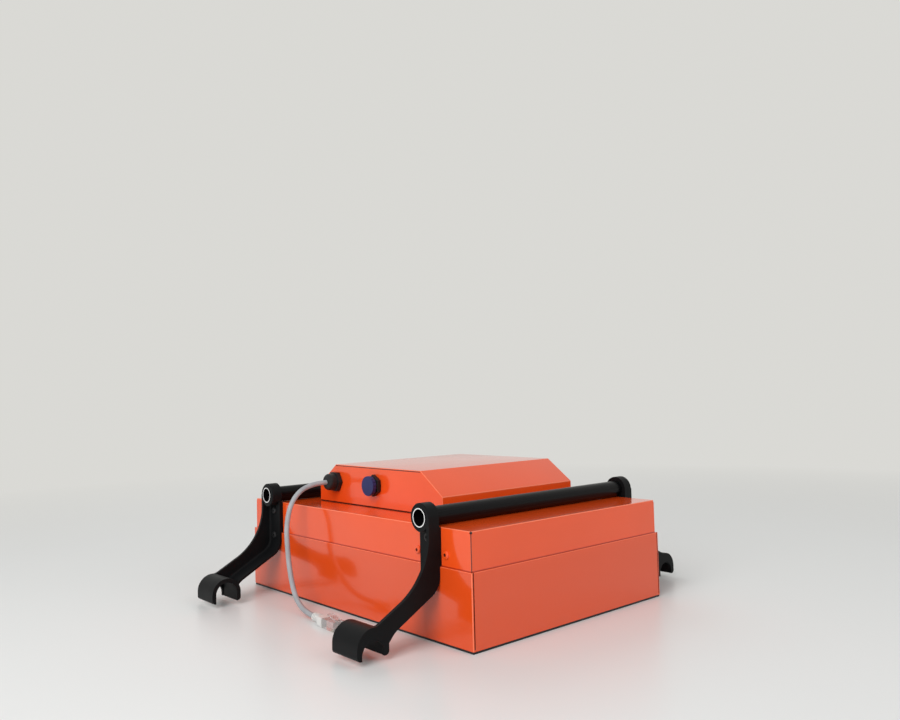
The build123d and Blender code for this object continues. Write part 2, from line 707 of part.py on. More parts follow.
def bowtie(side_y):
    """Two copper wings that flare away from the feed."""
    wing = [
        (WING_GAP / 2, -WING_ROOT / 2),
        (WING_GAP / 2 + WING_LENGTH, -WING_TIP / 2),
        (WING_GAP / 2 + WING_LENGTH, WING_TIP / 2),
        (WING_GAP / 2, WING_ROOT / 2),
    ]
    face = Pos(0, side_y * ANTENNA_Y, ANTENNA_TOP) * make_face(Polyline(*wing, close=True))
    right = extrude(face, COPPER)
    return Compound(children=[right, mirror(right, about=Plane.YZ)])


def antenna_feed_pins():
    """Pins from each unit's board down to its two wings."""
    reach = WING_GAP / 2 + PIN_INSET
    solids = []
    for side_y in SIDES:
        for side_x in SIDES:
            pin = rod_z(PIN_RADIUS, ANTENNA_TOP + COPPER, UNIT_BASE, side_x * reach, 0)
            solids.append(Pos(0, side_y * ANTENNA_Y, 0) * pin)
    return Compound(children=solids)


def unit_spacers():
    """Spacers that lift the two units off their antennas."""
    reach_x = UNIT_X / 2 - SPACER_INSET
    reach_y = UNIT_Y / 2 - SPACER_INSET
    solids = []
    for side in SIDES:
        for x in SIDES:
            for y in SIDES:
                middle_y = side * ANTENNA_Y + y * reach_y
                solids.append(rod_z(SPACER_RADIUS, ANTENNA_TOP, UNIT_BASE, x * reach_x, middle_y))
    return Compound(children=solids)


def unit_board(side_y):
    """Circuit board of the transmitter or the receiver."""
    return Pos(0, side_y * ANTENNA_Y, 0) * slab(UNIT_X, UNIT_Y, UNIT_BASE, UNIT_TOP)


def unit_can(side_y):
    """Thin screening can over a unit's board."""
    length_x = UNIT_X - 2 * CAN_INSET
    length_y = UNIT_Y - 2 * CAN_INSET
    can = slab(length_x, length_y, UNIT_TOP, CAN_TOP)
    can = can - slab(length_x - 2 * CAN_SHEET, length_y - 2 * CAN_SHEET, UNIT_TOP, CAN_TOP - CAN_SHEET)
    return Pos(0, side_y * ANTENNA_Y, 0) * can


def coax_holes(z0, z1):
    """Holes for both coaxial leads."""
    return [rod_z(COAX_HOLE, z0, z1, JACK_FROM_MIDDLE, side * COAX_Y) for side in SIDES]


def absorber(side_y):
    """Foam under the shield deck, over one antenna."""
    near = side_y * PARTITION_GAP
    far = side_y * (DECK_Y - FOAM_MARGIN)
    reach = DECK_X - FOAM_MARGIN
    foam = block(-reach, reach, near, far, DECK_HEIGHT - FOAM, DECK_HEIGHT)
    return cut_all(foam, coax_holes(DECK_HEIGHT - FOAM - PAST, DECK_HEIGHT + PAST))


def centre_partition():
    """Shield wall between the two antennas, standing on the tray's lip."""
    return slab(2 * DECK_X, SHEET, LIP_TOP, DECK_HEIGHT)


def shield_deck():
    """Shield over both antennas, which also carries the control board."""
    deck = slab(2 * DECK_X, 2 * DECK_Y, DECK_HEIGHT, DECK_TOP)
    holes = coax_holes(DECK_HEIGHT - PAST, DECK_TOP + PAST)
    holes += [rod_z(SCREW_HOLE, DECK_HEIGHT - PAST, DECK_TOP + PAST, x, y) for x, y in post_places()]
    return cut_all(deck, holes)


def deck_posts():
    """Posts from the tray's lip to the shield deck, threaded at the top."""
    bore = rod_z(THREAD_HOLE, DECK_HEIGHT - THREAD_DEPTH, DECK_HEIGHT + PAST, 0, 0)
    post = rod_z(POST_RADIUS, LIP_TOP, DECK_HEIGHT, 0, 0) - bore
    return Compound(children=[Pos(x, y, 0) * post for x, y in post_places()])


def board_standoffs():
    """Standoffs from the shield deck to the control board, threaded at the top."""
    bore = rod_z(THREAD_HOLE, CONTROL_BASE - THREAD_DEPTH, CONTROL_BASE + PAST, 0, 0)
    standoff = rod_z(STANDOFF_RADIUS, DECK_TOP, CONTROL_BASE, 0, 0) - bore
    return Compound(children=[Pos(x, y, 0) * standoff for x, y in standoff_places()])


def control_board():
    """Main circuit board."""
    board = slab(CONTROL_X, CONTROL_Y, CONTROL_BASE, CONTROL_TOP)
    holes = [rod_z(SCREW_HOLE, CONTROL_BASE - PAST, CONTROL_TOP + PAST, x, y) for x, y in standoff_places()]
    return cut_all(board, holes)


def processor_heatsink():
    """Finned heatsink on the control board."""
    sink = slab(HEATSINK_SIDE, HEATSINK_SIDE, CONTROL_TOP, CONTROL_TOP + HEATSINK_BASE)
    pitch = (HEATSINK_SIDE - FIN) / (HEATSINK_FINS - 1)
    for count in range(HEATSINK_FINS):
        x = -HEATSINK_SIDE / 2 + FIN / 2 + count * pitch
        fin = slab(FIN, HEATSINK_SIDE, CONTROL_TOP + HEATSINK_BASE, CONTROL_TOP + HEATSINK_HEIGHT)
        sink = sink + Pos(x, 0, 0) * fin
    return Pos(0, -HEATSINK_FROM_MIDDLE, 0) * sink


def power_module():
    """Power converter on the control board."""
    module = slab(POWER_X, POWER_Y, CONTROL_TOP, CONTROL_TOP + POWER_HEIGHT)
    return Pos(0, POWER_FROM_MIDDLE, 0) * fillet(module.edges().filter_by(Axis.Z), POWER_ROUND)


def coax_jacks():
    """Coaxial jacks: two at the edges of the control board and one on each can."""
    solids = []
    for side in SIDES:
        edge = side * CONTROL_Y / 2
        body = block(JACK_FROM_MIDDLE - JACK_SIDE / 2, JACK_FROM_MIDDLE + JACK_SIDE / 2,
                     edge - side * JACK_SIDE, edge, CONTROL_TOP, CONTROL_TOP + JACK_SIDE)
        solids.append(body + rod_y(JACK_RADIUS, edge, edge + side * JACK_BARREL, JACK_FROM_MIDDLE, JACK_Z))
    for side in SIDES:
        place = Pos(JACK_FROM_MIDDLE, side * COAX_Y, 0)
        base = slab(JACK_SIDE, JACK_SIDE, CAN_TOP, CAN_TOP + SHEET)
        solids.append(place * (base + rod_z(JACK_RADIUS, CAN_TOP, CAN_TOP + JACK_BARREL, 0, 0)))
    return Compound(children=solids)


def swept_tube(points, radii, radius):
    """Round tube along straight runs joined by tangent arcs."""
    path = FilletPolyline(*points, radius=radii)
    start = Plane(origin=path @ 0, z_dir=path % 0)
    return sweep(start * Circle(radius), path=path)


def coax(side_y):
    """Coaxial lead from a can, up through the shield deck, to the control board."""
    points = [
        (JACK_FROM_MIDDLE, side_y * COAX_Y, CAN_TOP + JACK_BARREL),
        (JACK_FROM_MIDDLE, side_y * COAX_Y, JACK_Z),
        (JACK_FROM_MIDDLE, side_y * (CONTROL_Y / 2 + JACK_BARREL), JACK_Z),
    ]
    return swept_tube(points, [COAX_BEND], COAX_RADIUS)


def header_x():
    """X of the harness header on the control board."""
    return -CONTROL_X / 2 + HEADER_INSET


def harness_headers():
    """Pin headers where the wiring from the hood's end wall joins the control board."""
    header = slab(HEADER_X, HEADER_Y, CONTROL_TOP, CONTROL_TOP + HEADER_HEIGHT)
    return Compound(children=[Pos(header_x(), y, 0) * header for y in PANEL_PLACES])


def harness(y):
    """Wiring from the hood's end wall down to its header."""
    points = [
        (-HOOD_END + SOCKET_REAR, y, CONNECTOR_Z),
        (header_x(), y, CONNECTOR_Z),
        (header_x(), y, CONTROL_TOP + HEADER_HEIGHT),
    ]
    return swept_tube(points, [HARNESS_BEND], HARNESS_RADIUS)


def panel_seals():
    """Washer seals under the flanges of the socket and the gland."""
    seal = rod_x(SEAL_RADIUS, FLANGE_BACK, -HOOD_END, 0, CONNECTOR_Z)
    seal = seal - rod_x(PANEL_HOLE, FLANGE_BACK - PAST, -HOOD_END + PAST, 0, CONNECTOR_Z)
    return Compound(children=[Pos(0, y, 0) * seal for y in PANEL_PLACES])


def panel_nuts():
    """Hexagon nuts that hold the socket and the gland from inside the hood."""
    inner = -HOOD_END + SHEET
    nut = hexagon_x(PANEL_NUT_FLATS, inner, inner + PANEL_NUT, 0, CONNECTOR_Z)
    nut = nut - rod_x(SOCKET_RADIUS + NUT_FIT, inner - PAST, inner + PANEL_NUT + PAST, 0, CONNECTOR_Z)
    return Compound(children=[Pos(0, y, 0) * nut for y in PANEL_PLACES])


def panel_socket():
    """Socket through the hood's end wall: hexagon, collar and barrel outside, threaded body inside."""
    flange = hexagon_x(SOCKET_HEX_FLATS, FLANGE_FRONT, FLANGE_BACK, 0, CONNECTOR_Z, turn=30)
    rounding = min(SOCKET_FLANGE_ROUND, FILLET_SHARE * SOCKET_FLANGE_THICK)
    flange = fillet(flange.faces().sort_by(Axis.X)[0].edges(), rounding)
    body = rod_x(SOCKET_RADIUS, FLANGE_BACK, -HOOD_END + SOCKET_REAR, 0, CONNECTOR_Z)
    collar = rod_x(COLLAR_RADIUS, COLLAR_FRONT, FLANGE_FRONT, 0, CONNECTOR_Z)
    mouth = COLLAR_FRONT - SOCKET_BARREL_LENGTH
    barrel = rod_x(SOCKET_BARREL, mouth, COLLAR_FRONT, 0, CONNECTOR_Z)
    well = rod_x(SOCKET_BARREL - SOCKET_BARREL_WALL, mouth, COLLAR_FRONT, 0, CONNECTOR_Z)
    return flange + body + collar + (barrel - well)


def connector_cap():
    """Scalloped cap that turns on the socket's barrel to close it."""
    cap = rod_x(CAP_RADIUS, CAP_FRONT, CAP_BACK, 0, CONNECTOR_Z)
    reach = CAP_RADIUS + SCALLOP_RADIUS - SCALLOP_DEPTH
    for count in range(CAP_SCALLOPS):
        turn = radians(360 / CAP_SCALLOPS * count)
        y = reach * cos(turn)
        z = CONNECTOR_Z + reach * sin(turn)
        cap = cap - rod_x(SCALLOP_RADIUS, CAP_FRONT + CAP_RIM, CAP_BACK + PAST, y, z)
    cap = fillet(cap.faces().sort_by(Axis.X)[0].edges(), min(CAP_ROUND, FILLET_SHARE * CAP_RIM))
    room = COLLAR_FRONT - SOCKET_BARREL_LENGTH - CAP_GAP
    return cap - rod_x(SOCKET_BARREL + CAP_GAP, room, CAP_BACK + PAST, 0, CONNECTOR_Z)


def lead_gland():
    """Gland body through the hood's end wall, with a hexagon outside."""
    base = hexagon_x(GLAND_FLATS, GLAND_FRONT, FLANGE_BACK, GLAND_Y, CONNECTOR_Z)
    return base + rod_x(SOCKET_RADIUS, FLANGE_BACK, -HOOD_END + SOCKET_REAR, GLAND_Y, CONNECTOR_Z)


def gland_dome():
    """Domed nut that grips the data lead."""
    dome = rod_x(GLAND_DOME, LEAD_X, GLAND_FRONT, GLAND_Y, CONNECTOR_Z)
    tip = dome.faces().sort_by(Axis.X)[0].edges()
    return fillet(tip, min(GLAND_DOME - GLAND_MOUTH, FILLET_SHARE * GLAND_DOME_LENGTH))


def route_radii(points):
    """Arc radius at each inner point of a route, as large as its two runs allow."""
    spots = [Vector(*point) for point in points]
    radii = []
    for before, spot, after in zip(spots, spots[1:], spots[2:]):
        turn = (spot - before).get_angle(after - spot)
        shorter = min((spot - before).length, (after - spot).length)
        radii.append(RUN_SHARE * shorter / tan(radians(turn) / 2))
    return radii


def data_lead():
    """Free data lead from its gland to the modular plug's boot."""
    radii = route_radii(LEAD_ROUTE)
    path = FilletPolyline(*LEAD_ROUTE, radius=radii)
    lead = swept_tube(LEAD_ROUTE, radii, LEAD_RADIUS)
    print("lead radii", [round(radius, 1) for radius in radii])
    print("lead length", round(path.length, 1))
    ratio = lead.volume / (pi * LEAD_RADIUS**2 * path.length)
    print("lead volume over section times length", round(ratio, 4))
    return lead


def lead_end():
    """Place of the lead's far end, with +Y along the lead."""
    before = LEAD_ROUTE[-2]
    end = LEAD_ROUTE[-1]
    heading = degrees(atan2(end[1] - before[1], end[0] - before[0]))
    return Pos(*end) * Rot(0, 0, heading - 90)


def at_lead_end(solid):
    """Solid drawn along +Y from the origin, carried to the lead's far end."""
    return lead_end() * solid


def plug_root():
    """Distance from the lead's end to the back of the modular plug."""
    return BOOT_NECK + BOOT_LENGTH


def rj45_boot():
    """Ribbed boot that widens to the modular plug."""
    boot = rod_y(BOOT_CORE, 0, BOOT_NECK, 0, 0)
    pitch = (BOOT_NECK - BOOT_RIB_WIDTH) / BOOT_RIBS
    for count in range(BOOT_RIBS):
        start = count * pitch
        boot = boot + rod_y(BOOT_RIB, start, start + BOOT_RIB_WIDTH, 0, 0)
    hood = block(-BOOT_X / 2, BOOT_X / 2, BOOT_NECK, plug_root(), -BOOT_Z / 2, BOOT_Z / 2)
    hood = fillet(hood.edges().filter_by(Axis.Y), BOOT_ROUND)
    return at_lead_end(boot + hood)


def blade_places():
    """X of each contact blade."""
    return [(count - (BLADES - 1) / 2) * BLADE_PITCH for count in range(BLADES)]


def plug_nose():
    """Distance from the lead's end to the tip of the modular plug."""
    return plug_root() + JACK_PLUG_LENGTH


def rj45_plug():
    """Clear modular plug with slots for its contact blades and a nub for its latch."""
    half_z = JACK_PLUG_Z / 2
    body = block(-JACK_PLUG_X / 2, JACK_PLUG_X / 2, plug_root(), plug_nose(), -half_z, half_z)
    nub_back = plug_nose() - LATCH_NUB
    body = body + block(-LATCH_X / 2, LATCH_X / 2, nub_back, plug_nose(), half_z, half_z + LATCH_THICK)
    back = plug_nose() - BLADE_LENGTH
    for x in blade_places():
        half_slot = BLADE_SLOT / 2
        body = body - block(x - half_slot, x + half_slot, back, plug_nose(), -half_z, -half_z + BLADE_DEPTH)
    return at_lead_end(body)


def rj45_contacts():
    """Contact blades in the modular plug's slots."""
    half_z = JACK_PLUG_Z / 2
    back = plug_nose() - BLADE_LENGTH
    front = plug_nose() - BLADE_RECESS
    solids = []
    for x in blade_places():
        low = -half_z + BLADE_RECESS
        blade = block(x - BLADE / 2, x + BLADE / 2, back, front, low, -half_z + BLADE_DEPTH)
        solids.append(at_lead_end(blade))
    return Compound(children=solids)


def rj45_latch():
    """Springy latch lever, rooted at the plug's nose and rising towards the boot."""
    root_radius = LATCH_THICK / 2
    lever = block(-LATCH_X / 2, LATCH_X / 2, -LATCH_LENGTH, 0, -root_radius, root_radius)
    lever = lever + rod_x(root_radius, -LATCH_X / 2, LATCH_X / 2, 0, 0)
    pivot_y = plug_nose() - LATCH_NUB - LATCH_GAP - root_radius
    pivot_z = JACK_PLUG_Z / 2 + LATCH_GAP + root_radius
    pivot = lead_end() * Pos(0, pivot_y, pivot_z)
    print("latch pivot", pivot.position)
    return pivot * Rot(-LATCH_ANGLE, 0, 0) * lever


def build():
    """Every piece by the name of its node."""
    deck_screw_length = SHEET + SCREW_GRIP
    board_screw_length = BOARD + SCREW_GRIP
    hood_screw_length = SHEET + GASKET + SHEET + NUT_HEIGHT + SCREW_TIP
    return {
        "tray_shell": tray_shell(),
        "top_cover": top_cover(),
        "electronics_hood": electronics_hood(),
        "hood_gasket": hood_gasket(),
        "bottom_plate": bottom_plate(),
        "bottom_plate_screws": bottom_plate_screws(),
        "cover_screws": side_screws(cover_screw_places(), COVER_SIDE),
        "hood_screws": upright_screws(hood_screw_places(), COVER_TOP - SHEET, hood_screw_length, False),
        "hood_nuts": hood_nuts(),
        "nut_plates": nut_plates(),
        "press_nuts": press_nuts(),
        "front_cross_tube": cross_tube(-1),
        "rear_cross_tube": cross_tube(1),
        "front_left_arm": hanger_arm(-1, -1),
        "front_right_arm": hanger_arm(1, -1),
        "rear_left_arm": hanger_arm(-1, 1),
        "rear_right_arm": hanger_arm(1, 1),
        "arm_screws": side_screws(arm_screw_places(), FLANGE_FACE),
        "transmit_antenna_board": antenna_board(1),
        "receive_antenna_board": antenna_board(-1),
        "transmit_bowtie": bowtie(1),
        "receive_bowtie": bowtie(-1),
        "antenna_feed_pins": antenna_feed_pins(),
        "unit_spacers": unit_spacers(),
        "transmitter_board": unit_board(1),
        "receiver_board": unit_board(-1),
        "transmitter_can": unit_can(1),
        "receiver_can": unit_can(-1),
        "transmit_absorber": absorber(1),
        "receive_absorber": absorber(-1),
        "centre_partition": centre_partition(),
        "shield_deck": shield_deck(),
        "deck_posts": deck_posts(),
        "deck_screws": upright_screws(post_places(), DECK_TOP, deck_screw_length, True),
        "control_board": control_board(),
        "board_standoffs": board_standoffs(),
        "board_screws": upright_screws(standoff_places(), CONTROL_TOP, board_screw_length, True),
        "processor_heatsink": processor_heatsink(),
        "power_module": power_module(),
        "coax_jacks": coax_jacks(),
        "transmit_coax": coax(1),
        "receive_coax": coax(-1),
        "harness_headers": harness_headers(),
        "socket_harness": harness(0.0),
        "lead_harness": harness(GLAND_Y),
        "panel_seals": panel_seals(),
        "panel_nuts": panel_nuts(),
        "panel_socket": panel_socket(),
        "connector_cap": connector_cap(),
        "lead_gland": lead_gland(),
        "gland_dome": gland_dome(),
        "data_lead": data_lead(),
        "rj45_boot": rj45_boot(),
        "rj45_plug": rj45_plug(),
        "rj45_contacts": rj45_contacts(),
        "rj45_latch": rj45_latch(),
    }


os.makedirs("parts", exist_ok=True)
for name, piece in build().items():
    export_step(piece, os.path.join("parts", name + ".step"))
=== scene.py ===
"""Looks of a ground penetrating radar: finishes, screws, data lead and studio around the fixed frame.

Metres, +Z up. -Y is the front and -X is the side with the connector.
"""
import json
import logging
import math
from abc import ABC, abstractmethod
from dataclasses import dataclass
from enum import Enum

import bmesh
import bpy
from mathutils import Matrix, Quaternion, Vector
from mathutils.bvhtree import BVHTree


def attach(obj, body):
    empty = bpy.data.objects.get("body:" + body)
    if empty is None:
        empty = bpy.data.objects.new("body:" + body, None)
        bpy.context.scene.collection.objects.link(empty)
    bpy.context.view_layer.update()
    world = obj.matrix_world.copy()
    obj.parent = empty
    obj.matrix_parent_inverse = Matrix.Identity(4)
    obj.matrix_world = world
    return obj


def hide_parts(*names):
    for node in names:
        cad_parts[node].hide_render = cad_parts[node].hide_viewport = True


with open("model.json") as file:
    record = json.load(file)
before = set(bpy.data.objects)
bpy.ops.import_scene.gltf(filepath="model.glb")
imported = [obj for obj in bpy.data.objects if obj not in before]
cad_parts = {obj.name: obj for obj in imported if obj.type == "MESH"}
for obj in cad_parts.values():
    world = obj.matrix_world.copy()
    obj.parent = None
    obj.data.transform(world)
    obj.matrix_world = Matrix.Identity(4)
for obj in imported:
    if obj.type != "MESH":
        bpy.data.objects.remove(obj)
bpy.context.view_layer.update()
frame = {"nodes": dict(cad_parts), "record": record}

LOG = logging.getLogger("radar")
Color = tuple[float, float, float]
Triple = tuple[float, float, float]
MM = 0.001
MERGE_REACH = 0.001 * MM
CASE_BODY = "case"


class Surface:
    """Node tree of one material, with short ways to add what the finishes share."""

    def __init__(self, name: str) -> None:
        """Starts a material with a bare shader.

        Args:
            name: The material's name.
        """
        self.material = bpy.data.materials.new(name)
        self.material.use_nodes = True
        self.tree = self.material.node_tree
        self.shader = self.tree.nodes["Principled BSDF"]
        self.coords = self.tree.nodes.new("ShaderNodeTexCoord")
        self.normal: bpy.types.NodeSocket | None = None

    def fix(self, **values: float) -> None:
        """Sets sockets that are the same all over, named with underscores for spaces."""
        for name, value in values.items():
            self.shader.inputs[name.replace("_", " ").title().replace("Ior", "IOR")].default_value = value

    def feed(self, name: str, source: bpy.types.NodeSocket) -> None:
        """Links a socket of the shader."""
        self.tree.links.new(source, self.shader.inputs[name])

    def place(self, stretch: Triple) -> bpy.types.NodeSocket:
        """Object coordinates times a scale along each axis.

        Args:
            stretch: Scale along X, Y and Z.

        Returns:
            The scaled coordinates.
        """
        mapping = self.tree.nodes.new("ShaderNodeMapping")
        mapping.inputs["Scale"].default_value = stretch
        self.tree.links.new(self.coords.outputs["Object"], mapping.inputs["Vector"])
        return mapping.outputs["Vector"]

    def noise(self, size: float, detail: float = 2.0,
              along: Triple = (1.0, 1.0, 1.0)) -> bpy.types.NodeSocket:
        """Smooth noise.

        Args:
            size: About how wide its blobs are, in metres.
            detail: How many finer layers it has.
            along: How many times longer the blobs are along X, Y and Z.

        Returns:
            The noise, from 0 to 1.
        """
        node = self.tree.nodes.new("ShaderNodeTexNoise")
        node.inputs["Scale"].default_value = 1.0
        node.inputs["Detail"].default_value = detail
        stretch = tuple(1.0 / (size * length) for length in along)
        self.tree.links.new(self.place(stretch), node.inputs["Vector"])
        return node.outputs["Fac"]

    def cells(self, size: float) -> bpy.types.NodeSocket:
        """Distance to the nearest cell centre.

        Args:
            size: About how wide a cell is, in metres.

        Returns:
            The distance, from 0 to about 1.
        """
        node = self.tree.nodes.new("ShaderNodeTexVoronoi")
        node.inputs["Scale"].default_value = 1.0
        self.tree.links.new(self.place((1.0 / size,) * 3), node.inputs["Vector"])
        return node.outputs["Distance"]

    def span(self, value: bpy.types.NodeSocket, low: float, high: float, start: float = 0.3,
             end: float = 0.7) -> bpy.types.NodeSocket:
        """Maps a stretch of a value to another range, held at its ends.

        Args:
            value: What is mapped.
            low: Result at start.
            high: Result at end.
            start: Value that gives low.
            end: Value that gives high.

        Returns:
            The mapped value.
        """
        node = self.tree.nodes.new("ShaderNodeMapRange")
        for name, number in (("From Min", start), ("From Max", end), ("To Min", low), ("To Max", high)):
            node.inputs[name].default_value = number
        self.tree.links.new(value, node.inputs["Value"])
        return node.outputs["Result"]

    def blend(self, factor: bpy.types.NodeSocket, low: Color | bpy.types.NodeSocket,
              high: Color) -> bpy.types.NodeSocket:
        """Mixes two colours.

        Args:
            factor: 0 gives the low colour and 1 the high one.
            low: A colour, or a socket that gives one.
            high: The other colour.

        Returns:
            The mixed colour.
        """
        node = self.tree.nodes.new("ShaderNodeMix")
        node.data_type = "RGBA"
        self.tree.links.new(factor, node.inputs["Factor"])
        if isinstance(low, bpy.types.NodeSocket):
            self.tree.links.new(low, node.inputs[6])
        else:
            node.inputs[6].default_value = (*low, 1.0)
        node.inputs[7].default_value = (*high, 1.0)
        return node.outputs[2]

    def part_of(self, vector: bpy.types.NodeSocket, axis: str) -> bpy.types.NodeSocket:
        """One axis of a vector, X, Y or Z."""
        split = self.tree.nodes.new("ShaderNodeSeparateXYZ")
        self.tree.links.new(vector, split.inputs["Vector"])
        return split.outputs[axis]

    def facing(self, axis: str) -> bpy.types.NodeSocket:
        """One axis of the object's own normal."""
        return self.part_of(self.coords.outputs["Normal"], axis)

    def along(self, axis: str) -> bpy.types.NodeSocket:
        """One axis of the place on the object, in metres."""
        return self.part_of(self.coords.outputs["Object"], axis)

    def math(self, operation: str, *values: bpy.types.NodeSocket) -> bpy.types.NodeSocket:
        """Result of one operation on one or two values."""
        node = self.tree.nodes.new("ShaderNodeMath")
        node.operation = operation
        for value, socket in zip(values, node.inputs):
            self.tree.links.new(value, socket)
        return node.outputs[0]

    def size_of(self, value: bpy.types.NodeSocket) -> bpy.types.NodeSocket:
        """The value without its sign."""
        return self.math("ABSOLUTE", value)

    def marked(self, name: str) -> bpy.types.NodeSocket:
        """A mark that the mesh itself carries, 0 where it carries none."""
        node = self.tree.nodes.new("ShaderNodeAttribute")
        node.attribute_name = name
        return node.outputs["Fac"]

    def mottle(self, color: Color, dark: float, light: float, size: float,
               detail: float) -> tuple[bpy.types.NodeSocket, bpy.types.NodeSocket]:
        """Colour that drifts between a darker and a lighter shade.

        Args:
            color: The colour between them.
            dark: Factor of the darker shade.
            light: Factor of the lighter shade.
            size: About how wide the patches are, in metres.
            detail: How many finer layers they have.

        Returns:
            Where the patches lie, from 0 to 1, and the colour.
        """
        patches = self.span(self.noise(size, detail), 0.0, 1.0)
        return patches, self.blend(patches, shade(color, dark), shade(color, light))

    def bump(self, height: bpy.types.NodeSocket, depth: float, strength: float) -> None:
        """Adds relief on top of what is there already.

        Args:
            height: Height from 0 to 1.
            depth: Depth of the relief in metres.
            strength: Share of it that shows.
        """
        node = self.tree.nodes.new("ShaderNodeBump")
        node.inputs["Distance"].default_value = depth
        node.inputs["Strength"].default_value = strength
        self.tree.links.new(height, node.inputs["Height"])
        if self.normal is not None:
            self.tree.links.new(self.normal, node.inputs["Normal"])
        self.normal = node.outputs["Normal"]
        self.feed("Normal", self.normal)


def shade(color: Color, factor: float) -> Color:
    """Colour made lighter or darker by a factor."""
    return tuple(min(1.0, part * factor) for part in color)


@dataclass(frozen=True)
class Finish(ABC):
    """A surface finish with its main colour."""

    color: Color

    @abstractmethod
    def draw(self, surface: Surface) -> None:
        """Draws the finish into a material's tree."""

    def material(self, name: str) -> bpy.types.Material:
        """Makes the finish's material.

        Args:
            name: The material's name.

        Returns:
            The new material.
        """
        surface = Surface(name)
        self.draw(surface)
        return surface.material


@dataclass(frozen=True)
class PowderCoat(Finish):
    """Glossy powder coat with a faint orange peel.

    It is a shade deeper on the tray. Painted shade darkens it in seams, holes and sockets and in the joint
    over the tray's rim, and a painted highlight makes it paler over the edges and bends.
    """

    shades: tuple[float, float] = (0.97, 1.03)
    patch_size: float = 90 * MM
    haze_size: float = 40 * MM
    roughness: tuple[float, float] = (0.13, 0.17)
    peel_size: float = 3.2 * MM
    peel_depth: float = 0.05 * MM
    peel_share: float = 0.1
    rim: float = 63 * MM
    rim_blur: float = 0.2 * MM
    joint_foot: tuple[float, float] = (0.02 * MM, 0.05 * MM)
    joint_top: tuple[float, float] = (0.7 * MM, 1.0 * MM)
    deeper: float = 0.88
    # Colours of the painted highlight on edges and bends, of the painted shade in the joint and of the
    # painted shade in seams, holes and sockets.
    painted_edge_highlight: Color = (0.88, 0.17, 0.07)
    painted_joint_shade: Color = (0.42, 0.032, 0.010)
    painted_hollow_shade: Color = (0.16, 0.013, 0.005)
    coat: float = 0.45
    coat_roughness: float = 0.05

    def draw(self, surface: Surface) -> None:
        """Draws the coat."""
        _, color = surface.mottle(self.color, *self.shades, size=self.patch_size, detail=2.0)
        height = surface.along("Z")
        tray = surface.span(height, 1.0, 0.0, self.rim - self.rim_blur, self.rim + self.rim_blur)
        color = surface.blend(tray, color, shade(self.color, self.deeper))
        # Painted highlight: faces marked edge, at edges and bends, get a paler colour.
        color = surface.blend(surface.marked("edge"), color, self.painted_edge_highlight)
        # Painted shade: a dark band on the cover just over the tray's rim, where the joint lies in shadow.
        over = surface.span(height, 0.0, 1.0, *(self.rim + step for step in self.joint_foot))
        under = surface.span(height, 1.0, 0.0, *(self.rim + step for step in self.joint_top))
        color = surface.blend(surface.math("MULTIPLY", over, under), color, self.painted_joint_shade)
        # Painted shade: faces marked as lying in seams, holes and sockets get a nearly black colour.
        surface.feed("Base Color", surface.blend(surface.marked("painted_hollow_shade"), color, self.painted_hollow_shade))
        surface.feed("Roughness", surface.span(surface.noise(self.haze_size), *self.roughness))
        surface.fix(coat_weight=self.coat, coat_roughness=self.coat_roughness)
        surface.bump(surface.noise(self.peel_size, detail=0.0), self.peel_depth, self.peel_share)


@dataclass(frozen=True)
class MouldedPlastic(Finish):
    """Matte or satin moulding with a fine grain and a few rubbed places."""

    roughness: float = 0.55
    unevenness: float = 0.06
    shades: tuple[float, float] = (0.85, 1.2)
    patch_size: float = 35 * MM
    grain_size: float = 0.45 * MM
    grain_depth: float = 0.05 * MM
    grain_share: float = 0.35
    scuff: float = 0.12
    scuff_size: float = 9 * MM
    scuff_range: tuple[float, float] = (0.58, 0.8)
    scuff_shade: float = 3.0
    gloss: float = 0.3

    def draw(self, surface: Surface) -> None:
        """Draws the moulding."""
        patches, color = surface.mottle(self.color, *self.shades, size=self.patch_size, detail=4.0)
        rub = surface.span(surface.noise(self.scuff_size, detail=6.0), 0.0, self.scuff, *self.scuff_range)
        surface.feed("Base Color", surface.blend(rub, color, shade(self.color, self.scuff_shade)))
        smooth, rough = self.roughness - self.unevenness, self.roughness + self.unevenness
        surface.feed("Roughness", surface.span(patches, smooth, rough, 0.0, 1.0))
        surface.fix(specular_ior_level=self.gloss)
        surface.bump(surface.noise(self.grain_size), self.grain_depth, self.grain_share)


@dataclass(frozen=True)
class DrawnTube(Finish):
    """Black anodised tube, drawn along X, with bare cut ends."""

    bare: Color = (0.90, 0.90, 0.90)
    metal: float = 0.4
    gloss: float = 0.25
    roughness: tuple[float, float] = (0.24, 0.32)
    shades: tuple[float, float] = (0.8, 1.35)
    line_size: float = 0.5 * MM
    line_length: float = 160.0
    line_depth: float = 0.02 * MM
    line_share: float = 0.2
    cut_range: tuple[float, float] = (0.6, 0.85)

    def draw(self, surface: Surface) -> None:
        """Draws the tube."""
        lines = surface.noise(self.line_size, detail=3.0, along=(self.line_length, 1.0, 1.0))
        cut = surface.span(surface.size_of(surface.facing("X")), 0.0, 1.0, *self.cut_range)
        dark, light = (shade(self.color, factor) for factor in self.shades)
        color = surface.blend(surface.span(lines, 0.0, 1.0), dark, light)
        surface.feed("Base Color", surface.blend(cut, color, self.bare))
        surface.feed("Metallic", surface.span(cut, 0.0, self.metal, 0.0, 1.0))
        surface.feed("Roughness", surface.span(lines, *self.roughness))
        surface.fix(specular_ior_level=self.gloss)
        surface.bump(lines, self.line_depth, self.line_share)


